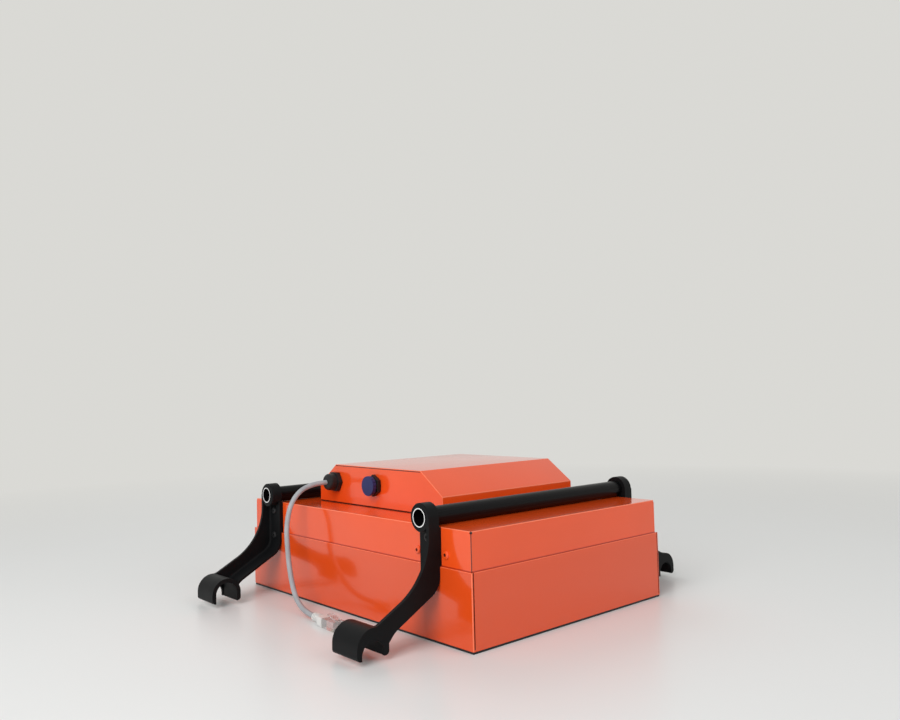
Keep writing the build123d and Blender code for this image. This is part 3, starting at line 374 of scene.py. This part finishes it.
@dataclass(frozen=True)
class Metal(Finish):
    """Bare or plated metal with fine working marks along one way."""

    roughness: float = 0.34
    smoother: float = 0.07
    rougher: float = 0.08
    marks: Triple = (30.0, 1.0, 1.0)
    mark_size: float = 0.25 * MM
    mark_depth: float = 0.01 * MM
    mark_share: float = 0.25
    shades: tuple[float, float] = (0.86, 1.0)
    patch_size: float = 14 * MM

    def draw(self, surface: Surface) -> None:
        """Draws the metal."""
        lines = surface.noise(self.mark_size, detail=3.0, along=self.marks)
        _, color = surface.mottle(self.color, *self.shades, size=self.patch_size, detail=4.0)
        surface.feed("Base Color", color)
        smooth, rough = self.roughness - self.smoother, self.roughness + self.rougher
        surface.feed("Roughness", surface.span(lines, smooth, rough))
        surface.fix(metallic=1.0)
        surface.bump(lines, self.mark_depth, self.mark_share)


@dataclass(frozen=True)
class Rubber(Finish):
    """Dull rubber or cable jacket."""

    roughness: float = 0.72
    unevenness: float = 0.08
    gloss: float = 0.5
    shades: tuple[float, float] = (0.86, 1.1)
    patch_size: float = 12 * MM
    grain_size: float = 0.3 * MM
    grain_depth: float = 0.02 * MM
    grain_share: float = 0.3

    def draw(self, surface: Surface) -> None:
        """Draws the rubber."""
        patches, color = surface.mottle(self.color, *self.shades, size=self.patch_size, detail=4.0)
        surface.feed("Base Color", color)
        smooth, rough = self.roughness - self.unevenness, self.roughness + self.unevenness
        surface.feed("Roughness", surface.span(patches, smooth, rough, 0.0, 1.0))
        surface.fix(specular_ior_level=self.gloss)
        surface.bump(surface.noise(self.grain_size), self.grain_depth, self.grain_share)


@dataclass(frozen=True)
class ClearPlastic(Finish):
    """Clear or milky moulding that lets light through."""

    clearness: float = 0.85
    roughness: float = 0.1
    unevenness: float = 0.08
    ior: float = 1.5
    shades: tuple[float, float] = (0.95, 1.0)
    patch_size: float = 6 * MM
    ripple_size: float = 0.8 * MM
    ripple_depth: float = 0.01 * MM
    ripple_share: float = 0.2

    def draw(self, surface: Surface) -> None:
        """Draws the moulding."""
        patches, color = surface.mottle(self.color, *self.shades, size=self.patch_size, detail=3.0)
        surface.feed("Base Color", color)
        rough = self.roughness + self.unevenness
        surface.feed("Roughness", surface.span(patches, self.roughness, rough, 0.0, 1.0))
        surface.fix(transmission_weight=self.clearness, ior=self.ior)
        surface.bump(surface.noise(self.ripple_size, detail=1.0), self.ripple_depth, self.ripple_share)


@dataclass(frozen=True)
class CircuitBoard(Finish):
    """Solder mask over traces, with small pads."""

    trace_pitch: float = 2.2 * MM
    trace_length: float = 13.2 * MM
    trace_share: float = 0.06
    trace_shade: float = 1.7
    trace_depth: float = 0.04 * MM
    relief_share: float = 0.4
    pad_size: float = 7 * MM
    pad_range: tuple[float, float] = (0.16, 0.2)
    pad: Color = (0.72, 0.6, 0.34)
    haze_size: float = 10 * MM
    roughness: tuple[float, float] = (0.3, 0.42)

    def draw(self, surface: Surface) -> None:
        """Draws the board."""
        brick = surface.tree.nodes.new("ShaderNodeTexBrick")
        brick.inputs["Scale"].default_value = 1.0
        brick.inputs["Mortar Size"].default_value = self.trace_share
        stretch = (1.0 / self.trace_length, 1.0 / self.trace_pitch, 1.0)
        surface.tree.links.new(surface.place(stretch), brick.inputs["Vector"])
        traces = brick.outputs["Fac"]
        color = surface.blend(traces, self.color, shade(self.color, self.trace_shade))
        pads = surface.span(surface.cells(self.pad_size), 1.0, 0.0, *self.pad_range)
        surface.feed("Base Color", surface.blend(pads, color, self.pad))
        surface.feed("Roughness", surface.span(surface.noise(self.haze_size), *self.roughness))
        surface.bump(traces, self.trace_depth, self.relief_share)


@dataclass(frozen=True)
class Foam(Finish):
    """Open-cell foam."""

    cell: float = 1.4 * MM
    cell_depth: float = 0.6 * MM
    cell_share: float = 0.8
    cell_range: tuple[float, float] = (0.1, 0.7)
    shades: tuple[float, float] = (0.3, 1.4)
    haze_size: float = 5 * MM
    roughness: tuple[float, float] = (0.85, 0.95)

    def draw(self, surface: Surface) -> None:
        """Draws the foam."""
        cells = surface.cells(self.cell)
        walls = surface.span(cells, 0.0, 1.0, *self.cell_range)
        dark, light = (shade(self.color, factor) for factor in self.shades)
        surface.feed("Base Color", surface.blend(walls, dark, light))
        surface.feed("Roughness", surface.span(surface.noise(self.haze_size), *self.roughness))
        surface.bump(cells, self.cell_depth, self.cell_share)


ORANGE: Color = (0.80, 0.079, 0.010)
BLACK: Color = (0.0055, 0.0058, 0.0064)
FINISHES: dict[str, Finish] = {
    "orange_coat": PowderCoat(ORANGE),
    "black_moulding": MouldedPlastic(BLACK, roughness=0.45, gloss=0.1),
    "black_tube": DrawnTube((0.003, 0.003, 0.0035), gloss=0.13),
    "black_plate": MouldedPlastic((0.012, 0.012, 0.013), roughness=0.5, grain_size=0.8 * MM),
    "black_screw": MouldedPlastic((0.012, 0.012, 0.013), roughness=0.36, grain_size=0.2 * MM),
    "steel_screw": Metal((0.62, 0.62, 0.63), marks=(1.0, 1.0, 1.0)),
    "seal_rubber": Rubber((0.006, 0.006, 0.006), gloss=0.08),
    "shield_metal": Metal((0.72, 0.73, 0.74)),
    "circuit_board": CircuitBoard((0.012, 0.12, 0.05)),
    "copper": Metal((0.80, 0.36, 0.2), roughness=0.28),
    "foam": Foam((0.05, 0.05, 0.06)),
    "heatsink_metal": Metal((0.08, 0.08, 0.085), marks=(1.0, 30.0, 1.0)),
    "module_plastic": MouldedPlastic((0.014, 0.014, 0.014), roughness=0.3),
    "jack_gold": Metal((0.83, 0.6, 0.22), roughness=0.24, marks=(1.0, 1.0, 1.0)),
    "inner_cable": Rubber((0.015, 0.015, 0.015), roughness=0.5),
    "header_plastic": MouldedPlastic((0.74, 0.72, 0.62), roughness=0.42, scuff=0.0),
    "connector_plastic": MouldedPlastic((0.012, 0.012, 0.013), roughness=0.42, grain_size=0.3 * MM),
    "cap_plastic": MouldedPlastic((0.02, 0.025, 0.105), roughness=0.4, grain_size=0.3 * MM, scuff=0.05),
    "lead_jacket": Rubber((0.34, 0.35, 0.37), roughness=0.46),
    "boot_plastic": ClearPlastic((0.86, 0.86, 0.84), clearness=0.25, roughness=0.32),
    "plug_plastic": ClearPlastic((0.9, 0.92, 0.93), clearness=0.85, roughness=0.08),
}
# Lighter finish for the arms' eased edges: a painted highlight.
PAINTED_EDGE_HIGHLIGHTS: dict[str, Finish] = {
    "black_moulding": MouldedPlastic((0.018, 0.018, 0.019), roughness=0.34, gloss=0.3),
}


class Wardrobe:
    """The finishes' materials by the record's slots, and which node wears which."""

    def __init__(self, finishes: dict[str, Finish], edge_highlights: dict[str, Finish]) -> None:
        """Makes one material for each slot, and one more with a painted highlight for its eased edges.

        Args:
            finishes: Finish of each slot.
            edge_highlights: Lighter finish of the eased edges, a painted highlight, for the slots that have
                one.
        """
        self.materials = {slot: finish.material(slot) for slot, finish in finishes.items()}
        # Materials with the painted highlight for eased edges.
        self.edge_highlight_materials = {slot: finish.material(slot + "_edge") for slot, finish in edge_highlights.items()}
        self.slots = {part["node"]: part["material_slot"] for part in frame["record"]["subparts"]}

    def dress_nodes(self) -> None:
        """Gives every node of the frame the material of its slot."""
        for name, node in frame["nodes"].items():
            self.wear(node, self.slots[name])

    def wear(self, piece: bpy.types.Object, slot: str) -> None:
        """Gives a piece one slot's material alone."""
        piece.data.materials.clear()
        piece.data.materials.append(self.materials[slot])


def new_piece(name: str, data: bpy.types.ID) -> bpy.types.Object:
    """Links a mesh, curve, lamp or camera into the scene as a new object.

    Args:
        name: The object's name.
        data: What it shows.

    Returns:
        The new object.
    """
    piece = bpy.data.objects.new(name, data)
    bpy.context.scene.collection.objects.link(piece)
    return piece


def merged_shape(node: str) -> bmesh.types.BMesh:
    """Copy of a node's mesh with its loose triangles merged, to be freed by the caller."""
    shape = bmesh.new()
    shape.from_mesh(frame["nodes"][node].data)
    bmesh.ops.remove_doubles(shape, verts=shape.verts, dist=MERGE_REACH)
    return shape


def merged_copy(node: str, kind: str, whole: bool) -> bpy.types.Mesh:
    """Merged copy of a node's mesh, without the normals stored for its loose triangles.

    Args:
        node: Name of the node.
        kind: Last word of the copy's name.
        whole: Whether its flat faces are made whole.

    Returns:
        The merged mesh.
    """
    shape = merged_shape(node)
    if whole:
        flat = math.radians(0.2)
        bmesh.ops.dissolve_limit(shape, angle_limit=flat, verts=shape.verts, edges=shape.edges)
    mesh = bpy.data.meshes.new(f"{node}_{kind}")
    shape.to_mesh(mesh)
    shape.free()
    stored = mesh.attributes.get("custom_normal")
    if stored is not None:
        mesh.attributes.remove(stored)
    return mesh


def solids_of(node: str) -> list[tuple[Vector, Vector]]:
    """Boxes of the separate solids in one node.

    Args:
        node: Name of the node.

    Returns:
        Lowest and highest corner of each solid, in the same order each run.
    """
    shape = merged_shape(node)
    left = set(shape.verts)
    boxes = []
    while left:
        reached = [left.pop()]
        for vertex in reached:
            for edge in vertex.link_edges:
                other = edge.other_vert(vertex)
                if other in left:
                    left.remove(other)
                    reached.append(other)
        low = Vector(min(vertex.co[axis] for vertex in reached) for axis in range(3))
        high = Vector(max(vertex.co[axis] for vertex in reached) for axis in range(3))
        boxes.append((low, high))
    shape.free()
    return sorted(boxes, key=lambda box: tuple(box[0]))


def stand_in(piece: bpy.types.Object, body: str, slot: str, *nodes: str) -> bpy.types.Object:
    """Puts a finished piece in place of some nodes.

    Args:
        piece: The new piece.
        body: Body that it moves with.
        slot: Material slot of the record; not used.
        nodes: Nodes that it stands for.

    Returns:
        The same piece.
    """
    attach(piece, body)
    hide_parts(*nodes)
    LOG.info("%s stands for %s", piece.name, ", ".join(nodes))
    return piece


@dataclass
class RoundedPieces:
    """Nodes whose edges are eased in the moulding, the bending or the sawing."""

    wardrobe: Wardrobe
    edge_angle: float = math.radians(28.0)
    segments: int = 3
    arms: tuple[str, ...] = ("front_left_arm", "front_right_arm", "rear_left_arm", "rear_right_arm")
    arm_edge: float = 0.7 * MM
    tubes: tuple[str, ...] = ("front_cross_tube", "rear_cross_tube")
    tube_edge: float = 0.2 * MM

    def build(self) -> None:
        """Makes a rounded copy of each of the nodes."""
        for node in self.arms:
            self.ease(node, self.arm_edge)
        for node in self.tubes:
            self.ease(node, self.tube_edge)

    def ease(self, node: str, radius: float) -> None:
        """Makes a rounded copy of one node, with a painted highlight on its eased edges where its finish has
        one.

        Args:
            node: Name of the node.
            radius: Radius of its edges.
        """
        piece = new_piece(node + "_rounded", merged_copy(node, "rounded", whole=True))
        for face in piece.data.polygons:
            face.use_smooth = True
        bevel = piece.modifiers.new("eased_edges", "BEVEL")
        bevel.limit_method = "ANGLE"
        bevel.angle_limit = self.edge_angle
        bevel.width = radius
        bevel.segments = self.segments
        bevel.use_clamp_overlap = True
        bevel.harden_normals = True
        slot = self.wardrobe.slots[node]
        self.wardrobe.wear(piece, slot)
        # The bevel faces get the lighter material, a painted highlight along the eased edges.
        if slot in self.wardrobe.edge_highlight_materials:
            piece.data.materials.append(self.wardrobe.edge_highlight_materials[slot])
            bevel.material = 1
        stand_in(piece, CASE_BODY, slot, node)


@dataclass
class CoatedSheets:
    """The folded sheets of the case, marked at edges and bends for a painted highlight and in seams and
    holes for painted shade.
    """

    wardrobe: Wardrobe
    nodes: tuple[str, ...] = ("tray_shell", "top_cover", "electronics_hood")
    flat_area: float = 400 * MM * MM
    same_way: float = math.cos(math.radians(7.0))
    crease: float = math.radians(30.0)
    hole: float = 2.3 * MM
    lift: float = 0.05 * MM
    looks: int = 8

    def build(self) -> None:
        """Makes a marked copy of each sheet."""
        for node in self.nodes:
            mesh = merged_copy(node, "coated", whole=False)
            mesh.set_sharp_from_angle(angle=self.crease)
            self.mark(mesh)
            piece = new_piece(node + "_coated", mesh)
            slot = self.wardrobe.slots[node]
            self.wardrobe.wear(piece, slot)
            stand_in(piece, CASE_BODY, slot, node)

    def mark(self, mesh: bpy.types.Mesh) -> None:
        """Marks the faces inside seams and holes for painted shade, and those that look another way than any
        large flat one for a painted highlight.

        Args:
            mesh: The sheet's mesh.
        """
        walls = BVHTree.FromPolygons([vertex.co for vertex in mesh.vertices],
                                     [tuple(face.vertices) for face in mesh.polygons])
        ways: dict[Triple, float] = {}
        for face in mesh.polygons:
            key = tuple(round(part, 2) for part in face.normal)
            ways[key] = ways.get(key, 0.0) + face.area
        main = [Vector(way) for way, area in ways.items() if area > self.flat_area]
        painted_hollow_shade = [float(self.is_hollow(walls, face.center, face.normal)) for face in mesh.polygons]
        turned = [float(all(face.normal.dot(way) < self.same_way for way in main)) for face in mesh.polygons]
        # Faces at edges and bends, outside seams and holes, get the painted highlight.
        edge = [turn * (1.0 - deep) for turn, deep in zip(turned, painted_hollow_shade)]
        for name, values in (("painted_hollow_shade", painted_hollow_shade), ("edge", edge)):
            mesh.attributes.new(name, "FLOAT", "FACE").data.foreach_set("value", values)

    def is_hollow(self, walls: BVHTree, place: Vector, way: Vector) -> bool:
        """Whether a face lies in a seam or a hole.

        Args:
            walls: The sheet's faces.
            place: Middle of the face.
            way: Where it looks.

        Returns:
            True if a wall faces it, or walls stand on opposite sides of it, no further than a hole is wide.
        """
        start = place + way * self.lift
        if walls.ray_cast(start, way, self.hole)[0] is not None:
            return True
        aside = way.orthogonal()
        for count in range(self.looks):
            look = Quaternion(way, math.pi * count / self.looks) @ aside
            near = walls.ray_cast(start, look, self.hole)[3]
            far = walls.ray_cast(start, -look, self.hole)[3]
            if near is not None and far is not None and near + far < self.hole:
                return True
        return False


class Facing(Enum):
    """Which way the heads of a set of screws look."""

    SIDES = "sides"
    DOWN = "down"


@dataclass
class ScrewSet:
    """Screws of one kind, spread over their places by a node tree."""

    node: str
    facing: Facing
    wardrobe: Wardrobe
    head_radius: float = 3.6 * MM
    head_height: float = 2.0 * MM
    crown: float = 1.5 * MM
    shank_radius: float = 1.5 * MM
    socket_flats: float = 2.5 * MM
    socket_depth: float = 1.2 * MM
    socket_point: float = 1.15
    socket_floor: float = 0.96
    socket_mouth: float = 1.06
    mouth_depth: float = 0.08 * MM
    rim_break: float = 0.1 * MM
    crown_steps: int = 6
    tip: float = 0.4 * MM
    sides: int = 24
    crease: float = math.radians(32.0)

    def places(self) -> list[tuple[Vector, Vector, float]]:
        """Top of each head, the way it looks, and the screw's length."""
        found = []
        for low, high in solids_of(self.node):
            middle = (low + high) / 2
            if self.facing is Facing.DOWN:
                found.append((Vector((middle.x, middle.y, low.z)), Vector((0, 0, -1)), high.z - low.z))
            elif middle.x > 0:
                found.append((Vector((high.x, middle.y, middle.z)), Vector((1, 0, 0)), high.x - low.x))
            else:
                found.append((Vector((low.x, middle.y, middle.z)), Vector((-1, 0, 0)), high.x - low.x))
        return found

    def rings(self, length: float) -> list[tuple[float, float, bool]]:
        """Height against the top of the head, radius and whether it is a hexagon, ring by ring.

        Args:
            length: Length of the whole screw.

        Returns:
            The rings from the socket's floor over the head to the shank's tip.
        """
        flats = self.socket_flats / 2
        rings = [(-self.socket_depth * self.socket_point, 0.0, False),
                 (-self.socket_depth, flats * self.socket_floor, True),
                 (-self.mouth_depth, flats, True), (0.0, flats * self.socket_mouth, True)]
        if self.facing is Facing.DOWN:
            rings += [(0.0, self.head_radius - self.rim_break, False),
                      (-self.rim_break, self.head_radius, False),
                      (-self.head_height, self.shank_radius, False)]
        else:
            for step in range(self.crown_steps + 1):
                turn = math.radians(90.0 * step / self.crown_steps)
                radius = self.head_radius - self.crown + self.crown * math.sin(turn)
                rings.append((-self.crown + self.crown * math.cos(turn), radius, False))
            rings += [(-self.head_height, self.head_radius, False),
                      (-self.head_height, self.shank_radius, False)]
        rings += [(-length + self.tip, self.shank_radius, False),
                  (-length, self.shank_radius - self.tip, False), (-length, 0.0, False)]
        return rings

    def prototype(self, length: float) -> bpy.types.Object:
        """One screw along Z, the top of its head at the origin.

        Args:
            length: Length of the whole screw.

        Returns:
            The screw's object.
        """
        shape = bmesh.new()
        loops = []
        for height, radius, hexagon in self.rings(length):
            loop = []
            for count in range(self.sides):
                turn = 2 * math.pi * count / self.sides
                reach = radius
                if hexagon:
                    reach = radius / math.cos((turn + math.pi / 6) % (math.pi / 3) - math.pi / 6)
                loop.append(shape.verts.new((reach * math.cos(turn), reach * math.sin(turn), height)))
            loops.append(loop)
        for upper, lower in zip(loops, loops[1:]):
            for count in range(self.sides):
                after = (count + 1) % self.sides
                shape.faces.new((upper[count], upper[after], lower[after], lower[count]))
        bmesh.ops.remove_doubles(shape, verts=shape.verts, dist=MERGE_REACH)
        bmesh.ops.recalc_face_normals(shape, faces=shape.faces)
        mesh = bpy.data.meshes.new(self.node + "_one")
        shape.to_mesh(mesh)
        shape.free()
        for face in mesh.polygons:
            face.use_smooth = True
        mesh.set_sharp_from_angle(angle=self.crease)
        self.mark_socket(mesh)
        return new_piece(self.node + "_one", mesh)

    def mark_socket(self, mesh: bpy.types.Mesh) -> None:
        """Marks the faces inside the socket, where the coat paints shade."""
        reach = self.socket_flats / 2 / math.cos(math.pi / 6)
        floor = -self.socket_depth * self.socket_point
        painted_hollow_shade = mesh.attributes.new("painted_hollow_shade", "FLOAT", "FACE")
        for face in mesh.polygons:
            deep = floor < face.center.z < -self.mouth_depth / 4
            inside = deep and face.center.xy.length < reach
            painted_hollow_shade.data[face.index].value = float(inside)

    def tree(self, material: bpy.types.Material) -> tuple[bpy.types.NodeTree, str, str]:
        """Node tree that puts a screw on each point and turns it to face its way.

        Args:
            material: Material of the screws.

        Returns:
            The tree and the identifiers of its inputs for the screw and for its size.
        """
        tree = bpy.data.node_groups.new(self.node + "_spread", "GeometryNodeTree")
        tree.interface.new_socket("Places", in_out="INPUT", socket_type="NodeSocketGeometry")
        screw = tree.interface.new_socket("Screw", in_out="INPUT", socket_type="NodeSocketObject")
        size = tree.interface.new_socket("Size", in_out="INPUT", socket_type="NodeSocketFloat")
        tree.interface.new_socket("Screws", in_out="OUTPUT", socket_type="NodeSocketGeometry")
        start = tree.nodes.new("NodeGroupInput")
        end = tree.nodes.new("NodeGroupOutput")
        info = tree.nodes.new("GeometryNodeObjectInfo")
        way = tree.nodes.new("GeometryNodeInputNamedAttribute")
        way.data_type = "FLOAT_VECTOR"
        way.inputs["Name"].default_value = "way"
        turn = tree.nodes.new("FunctionNodeAlignRotationToVector")
        turn.axis = "Z"
        spread = tree.nodes.new("GeometryNodeInstanceOnPoints")
        real = tree.nodes.new("GeometryNodeRealizeInstances")
        paint = tree.nodes.new("GeometryNodeSetMaterial")
        paint.inputs["Material"].default_value = material
        links = tree.links
        links.new(start.outputs["Screw"], info.inputs["Object"])
        links.new(way.outputs["Attribute"], turn.inputs["Vector"])
        links.new(start.outputs["Places"], spread.inputs["Points"])
        links.new(info.outputs["Geometry"], spread.inputs["Instance"])
        links.new(turn.outputs["Rotation"], spread.inputs["Rotation"])
        links.new(start.outputs["Size"], spread.inputs["Scale"])
        links.new(spread.outputs["Instances"], real.inputs["Geometry"])
        links.new(real.outputs["Geometry"], paint.inputs["Geometry"])
        links.new(paint.outputs["Geometry"], end.inputs["Screws"])
        return tree, screw.identifier, size.identifier

    def build(self) -> bpy.types.Object:
        """Makes the whole set as one piece.

        Returns:
            The piece that stands for the node.
        """
        places = self.places()
        slot = self.wardrobe.slots[self.node]
        points = bpy.data.meshes.new(self.node + "_places")
        points.from_pydata([top for top, _, _ in places], [], [])
        ways = points.attributes.new("way", "FLOAT_VECTOR", "POINT")
        for index, (_, way, _) in enumerate(places):
            ways.data[index].vector = way
        host = new_piece(self.node + "_host", points)
        screw = self.prototype(max(length for _, _, length in places))
        tree, screw_input, size_input = self.tree(self.wardrobe.materials[slot])
        spread = host.modifiers.new("spread", "NODES")
        spread.node_group = tree
        spread[screw_input] = screw
        spread[size_input] = 1.0
        evaluated = host.evaluated_get(bpy.context.evaluated_depsgraph_get())
        mesh = bpy.data.meshes.new_from_object(evaluated)
        mesh.name = self.node + "_made"
        bpy.data.objects.remove(host)
        bpy.data.objects.remove(screw)
        piece = new_piece(self.node + "_made", mesh)
        self.wardrobe.wear(piece, slot)
        return stand_in(piece, CASE_BODY, slot, self.node)


@dataclass
class DataLead:
    """Grey data lead from its gland down to the floor, up to its modular plug."""

    wardrobe: Wardrobe
    radius: float = 2.5 * MM
    length: float = 186.9 * MM
    rings: int = 10
    steps: int = 14
    route: tuple[Triple, ...] = (
        (-0.1024, 0.0680, 0.1172),
        (-0.1234, 0.0680, 0.1172),
        (-0.1420, 0.0685, 0.1045),
        (-0.1500, 0.0675, 0.0810),
        (-0.1510, 0.0640, 0.0540),
        (-0.1530, 0.0550, 0.0295),
        (-0.1570, 0.0390, 0.0125),
        (-0.1600, 0.0180, 0.0042),
        (-0.1615, -0.0030, 0.0042),
    )

    def build(self) -> bpy.types.Object:
        """Makes the lead as one smooth curve.

        Returns:
            The lead's curve object.
        """
        curve = bpy.data.curves.new("lead", "CURVE")
        curve.dimensions = "3D"
        curve.bevel_depth = self.radius
        curve.bevel_resolution = self.rings
        curve.use_fill_caps = True
        spline = curve.splines.new("NURBS")
        spline.points.add(len(self.route) - 1)
        for point, place in zip(spline.points, self.route):
            point.co = (*place, 1.0)
        spline.order_u = 3
        spline.use_endpoint_u = True
        spline.resolution_u = self.steps
        lead = new_piece("lead", curve)
        slot = self.wardrobe.slots["data_lead"]
        self.wardrobe.wear(lead, slot)
        stand_in(lead, CASE_BODY, slot, "data_lead")
        return lead


def seen_directly(tree: bpy.types.NodeTree) -> bpy.types.NodeSocket:
    """Whether a ray comes from the camera, a gloss or a clear piece.

    Args:
        tree: Tree of the floor's or the sky's material.

    Returns:
        1 for such a ray and 0 for others.
    """
    path = tree.nodes.new("ShaderNodeLightPath")
    seen = path.outputs["Is Camera Ray"]
    for kind in ("Is Glossy Ray", "Is Transmission Ray"):
        either = tree.nodes.new("ShaderNodeMath")
        either.operation = "MAXIMUM"
        tree.links.new(seen, either.inputs[0])
        tree.links.new(path.outputs[kind], either.inputs[1])
        seen = either.outputs[0]
    return seen


@dataclass(frozen=True)
class Lamp:
    """A soft square lamp: its place, the side of its panel and its power in watts."""

    name: str
    place: Triple
    size: float
    power: float


@dataclass
class Studio:
    """Pale floor, soft lamps and the camera."""

    floor_reach: float = 6.0
    floor_color: Color = (0.765, 0.775, 0.775)
    floor_shades: tuple[float, float] = (0.985, 1.0)
    floor_patch: float = 0.4
    floor_roughness: float = 0.32
    fade: tuple[float, float] = (0.6, 1.6)
    sky_color: Color = (0.72, 0.72, 0.70)
    sky_strength: float = 0.55
    backdrop_color: Color = (0.70, 0.695, 0.665)
    camera_place: Triple = (-0.5540, -0.6396, 0.1984)
    camera_turn: Triple = (92.98, 1.38, -41.52)
    lens: float = 31.655
    sensor: float = 36.0
    nearest: float = 0.01
    lamp_target: Triple = (0.0, 0.0, 0.05)
    lamps: tuple[Lamp, ...] = (
        Lamp("key", (-1.5, -0.55, 0.95), size=1.2, power=24.5),
        Lamp("fill", (0.5, -1.6, 1.0), size=1.4, power=9.0),
        Lamp("back", (0.6, 1.4, 1.4), size=1.2, power=8.0),
    )

    def build(self) -> None:
        """Makes the whole studio."""
        self.build_floor()
        self.build_sky()
        for lamp in self.lamps:
            self.build_lamp(lamp)
        self.build_camera()

    def build_floor(self) -> None:
        """Makes the floor that the part stands on."""
        mesh = bpy.data.meshes.new("floor")
        reach = self.floor_reach
        corners = [(-reach, -reach, 0), (reach, -reach, 0), (reach, reach, 0), (-reach, reach, 0)]
        mesh.from_pydata(corners, [], [(0, 1, 2, 3)])
        floor = new_piece("floor", mesh)
        surface = Surface("floor")
        _, color = surface.mottle(self.floor_color, *self.floor_shades, size=self.floor_patch, detail=2.0)
        surface.feed("Base Color", color)
        surface.fix(roughness=self.floor_roughness)
        self.fade_out(surface)
        mesh.materials.append(surface.material)

    def fade_out(self, surface: Surface) -> None:
        """Lets the floor pass into the backdrop far from the part, for the camera and the gloss.

        Args:
            surface: The floor's surface.
        """
        tree = surface.tree
        far = tree.nodes.new("ShaderNodeVectorMath")
        far.operation = "LENGTH"
        tree.links.new(surface.coords.outputs["Object"], far.inputs[0])
        away = surface.span(far.outputs["Value"], 0.0, 1.0, *self.fade)
        backdrop = tree.nodes.new("ShaderNodeEmission")
        backdrop.inputs["Color"].default_value = (*self.backdrop_color, 1.0)
        choice = tree.nodes.new("ShaderNodeMixShader")
        tree.links.new(surface.math("MULTIPLY", away, seen_directly(tree)), choice.inputs["Fac"])
        tree.links.new(surface.shader.outputs["BSDF"], choice.inputs[1])
        tree.links.new(backdrop.outputs["Emission"], choice.inputs[2])
        tree.links.new(choice.outputs["Shader"], tree.nodes["Material Output"].inputs["Surface"])

    def build_sky(self) -> None:
        """Makes the even light all round, and the pale backdrop that the camera and the gloss see."""
        world = bpy.data.worlds.new("sky")
        bpy.context.scene.world = world
        world.use_nodes = True
        tree = world.node_tree
        sky = tree.nodes["Background"]
        sky.inputs["Color"].default_value = (*self.sky_color, 1.0)
        sky.inputs["Strength"].default_value = self.sky_strength
        backdrop = tree.nodes.new("ShaderNodeBackground")
        backdrop.inputs["Color"].default_value = (*self.backdrop_color, 1.0)
        choice = tree.nodes.new("ShaderNodeMixShader")
        tree.links.new(seen_directly(tree), choice.inputs["Fac"])
        tree.links.new(sky.outputs["Background"], choice.inputs[1])
        tree.links.new(backdrop.outputs["Background"], choice.inputs[2])
        tree.links.new(choice.outputs["Shader"], tree.nodes["World Output"].inputs["Surface"])

    def build_lamp(self, lamp: Lamp) -> None:
        """Makes one soft lamp that leaves no glare in the gloss.

        Args:
            lamp: What the lamp is like.
        """
        light = bpy.data.lights.new(lamp.name, "AREA")
        light.size = lamp.size
        light.energy = lamp.power
        panel = new_piece(lamp.name, light)
        panel.location = lamp.place
        way = Vector(self.lamp_target) - Vector(lamp.place)
        panel.rotation_euler = way.to_track_quat("-Z", "Y").to_euler()
        panel.visible_glossy = False

    def build_camera(self) -> None:
        """Makes the camera."""
        data = bpy.data.cameras.new("camera")
        data.lens = self.lens
        data.sensor_width = self.sensor
        data.clip_start = self.nearest
        camera = new_piece("camera", data)
        camera.location = self.camera_place
        camera.rotation_euler = [math.radians(turn) for turn in self.camera_turn]
        bpy.context.scene.camera = camera


def write_sizes() -> None:
    """Brings every piece's place in the scene up to date."""
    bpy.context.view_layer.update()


def main() -> None:
    """Builds the studio and dresses the part, piece by piece."""
    logging.basicConfig(level=logging.INFO, format="%(name)s: %(message)s")
    bpy.context.scene.view_settings.view_transform = "Standard"
    Studio().build()
    wardrobe = Wardrobe(FINISHES, PAINTED_EDGE_HIGHLIGHTS)
    wardrobe.dress_nodes()
    DataLead(wardrobe).build()
    RoundedPieces(wardrobe).build()
    CoatedSheets(wardrobe).build()
    ScrewSet("cover_screws", Facing.SIDES, wardrobe).build()
    ScrewSet("arm_screws", Facing.SIDES, wardrobe).build()
    ScrewSet("bottom_plate_screws", Facing.DOWN, wardrobe, head_radius=2.9 * MM, head_height=1.4 * MM,
             socket_depth=1.0 * MM).build()
    write_sizes()


if __name__ == "__main__":
    main()
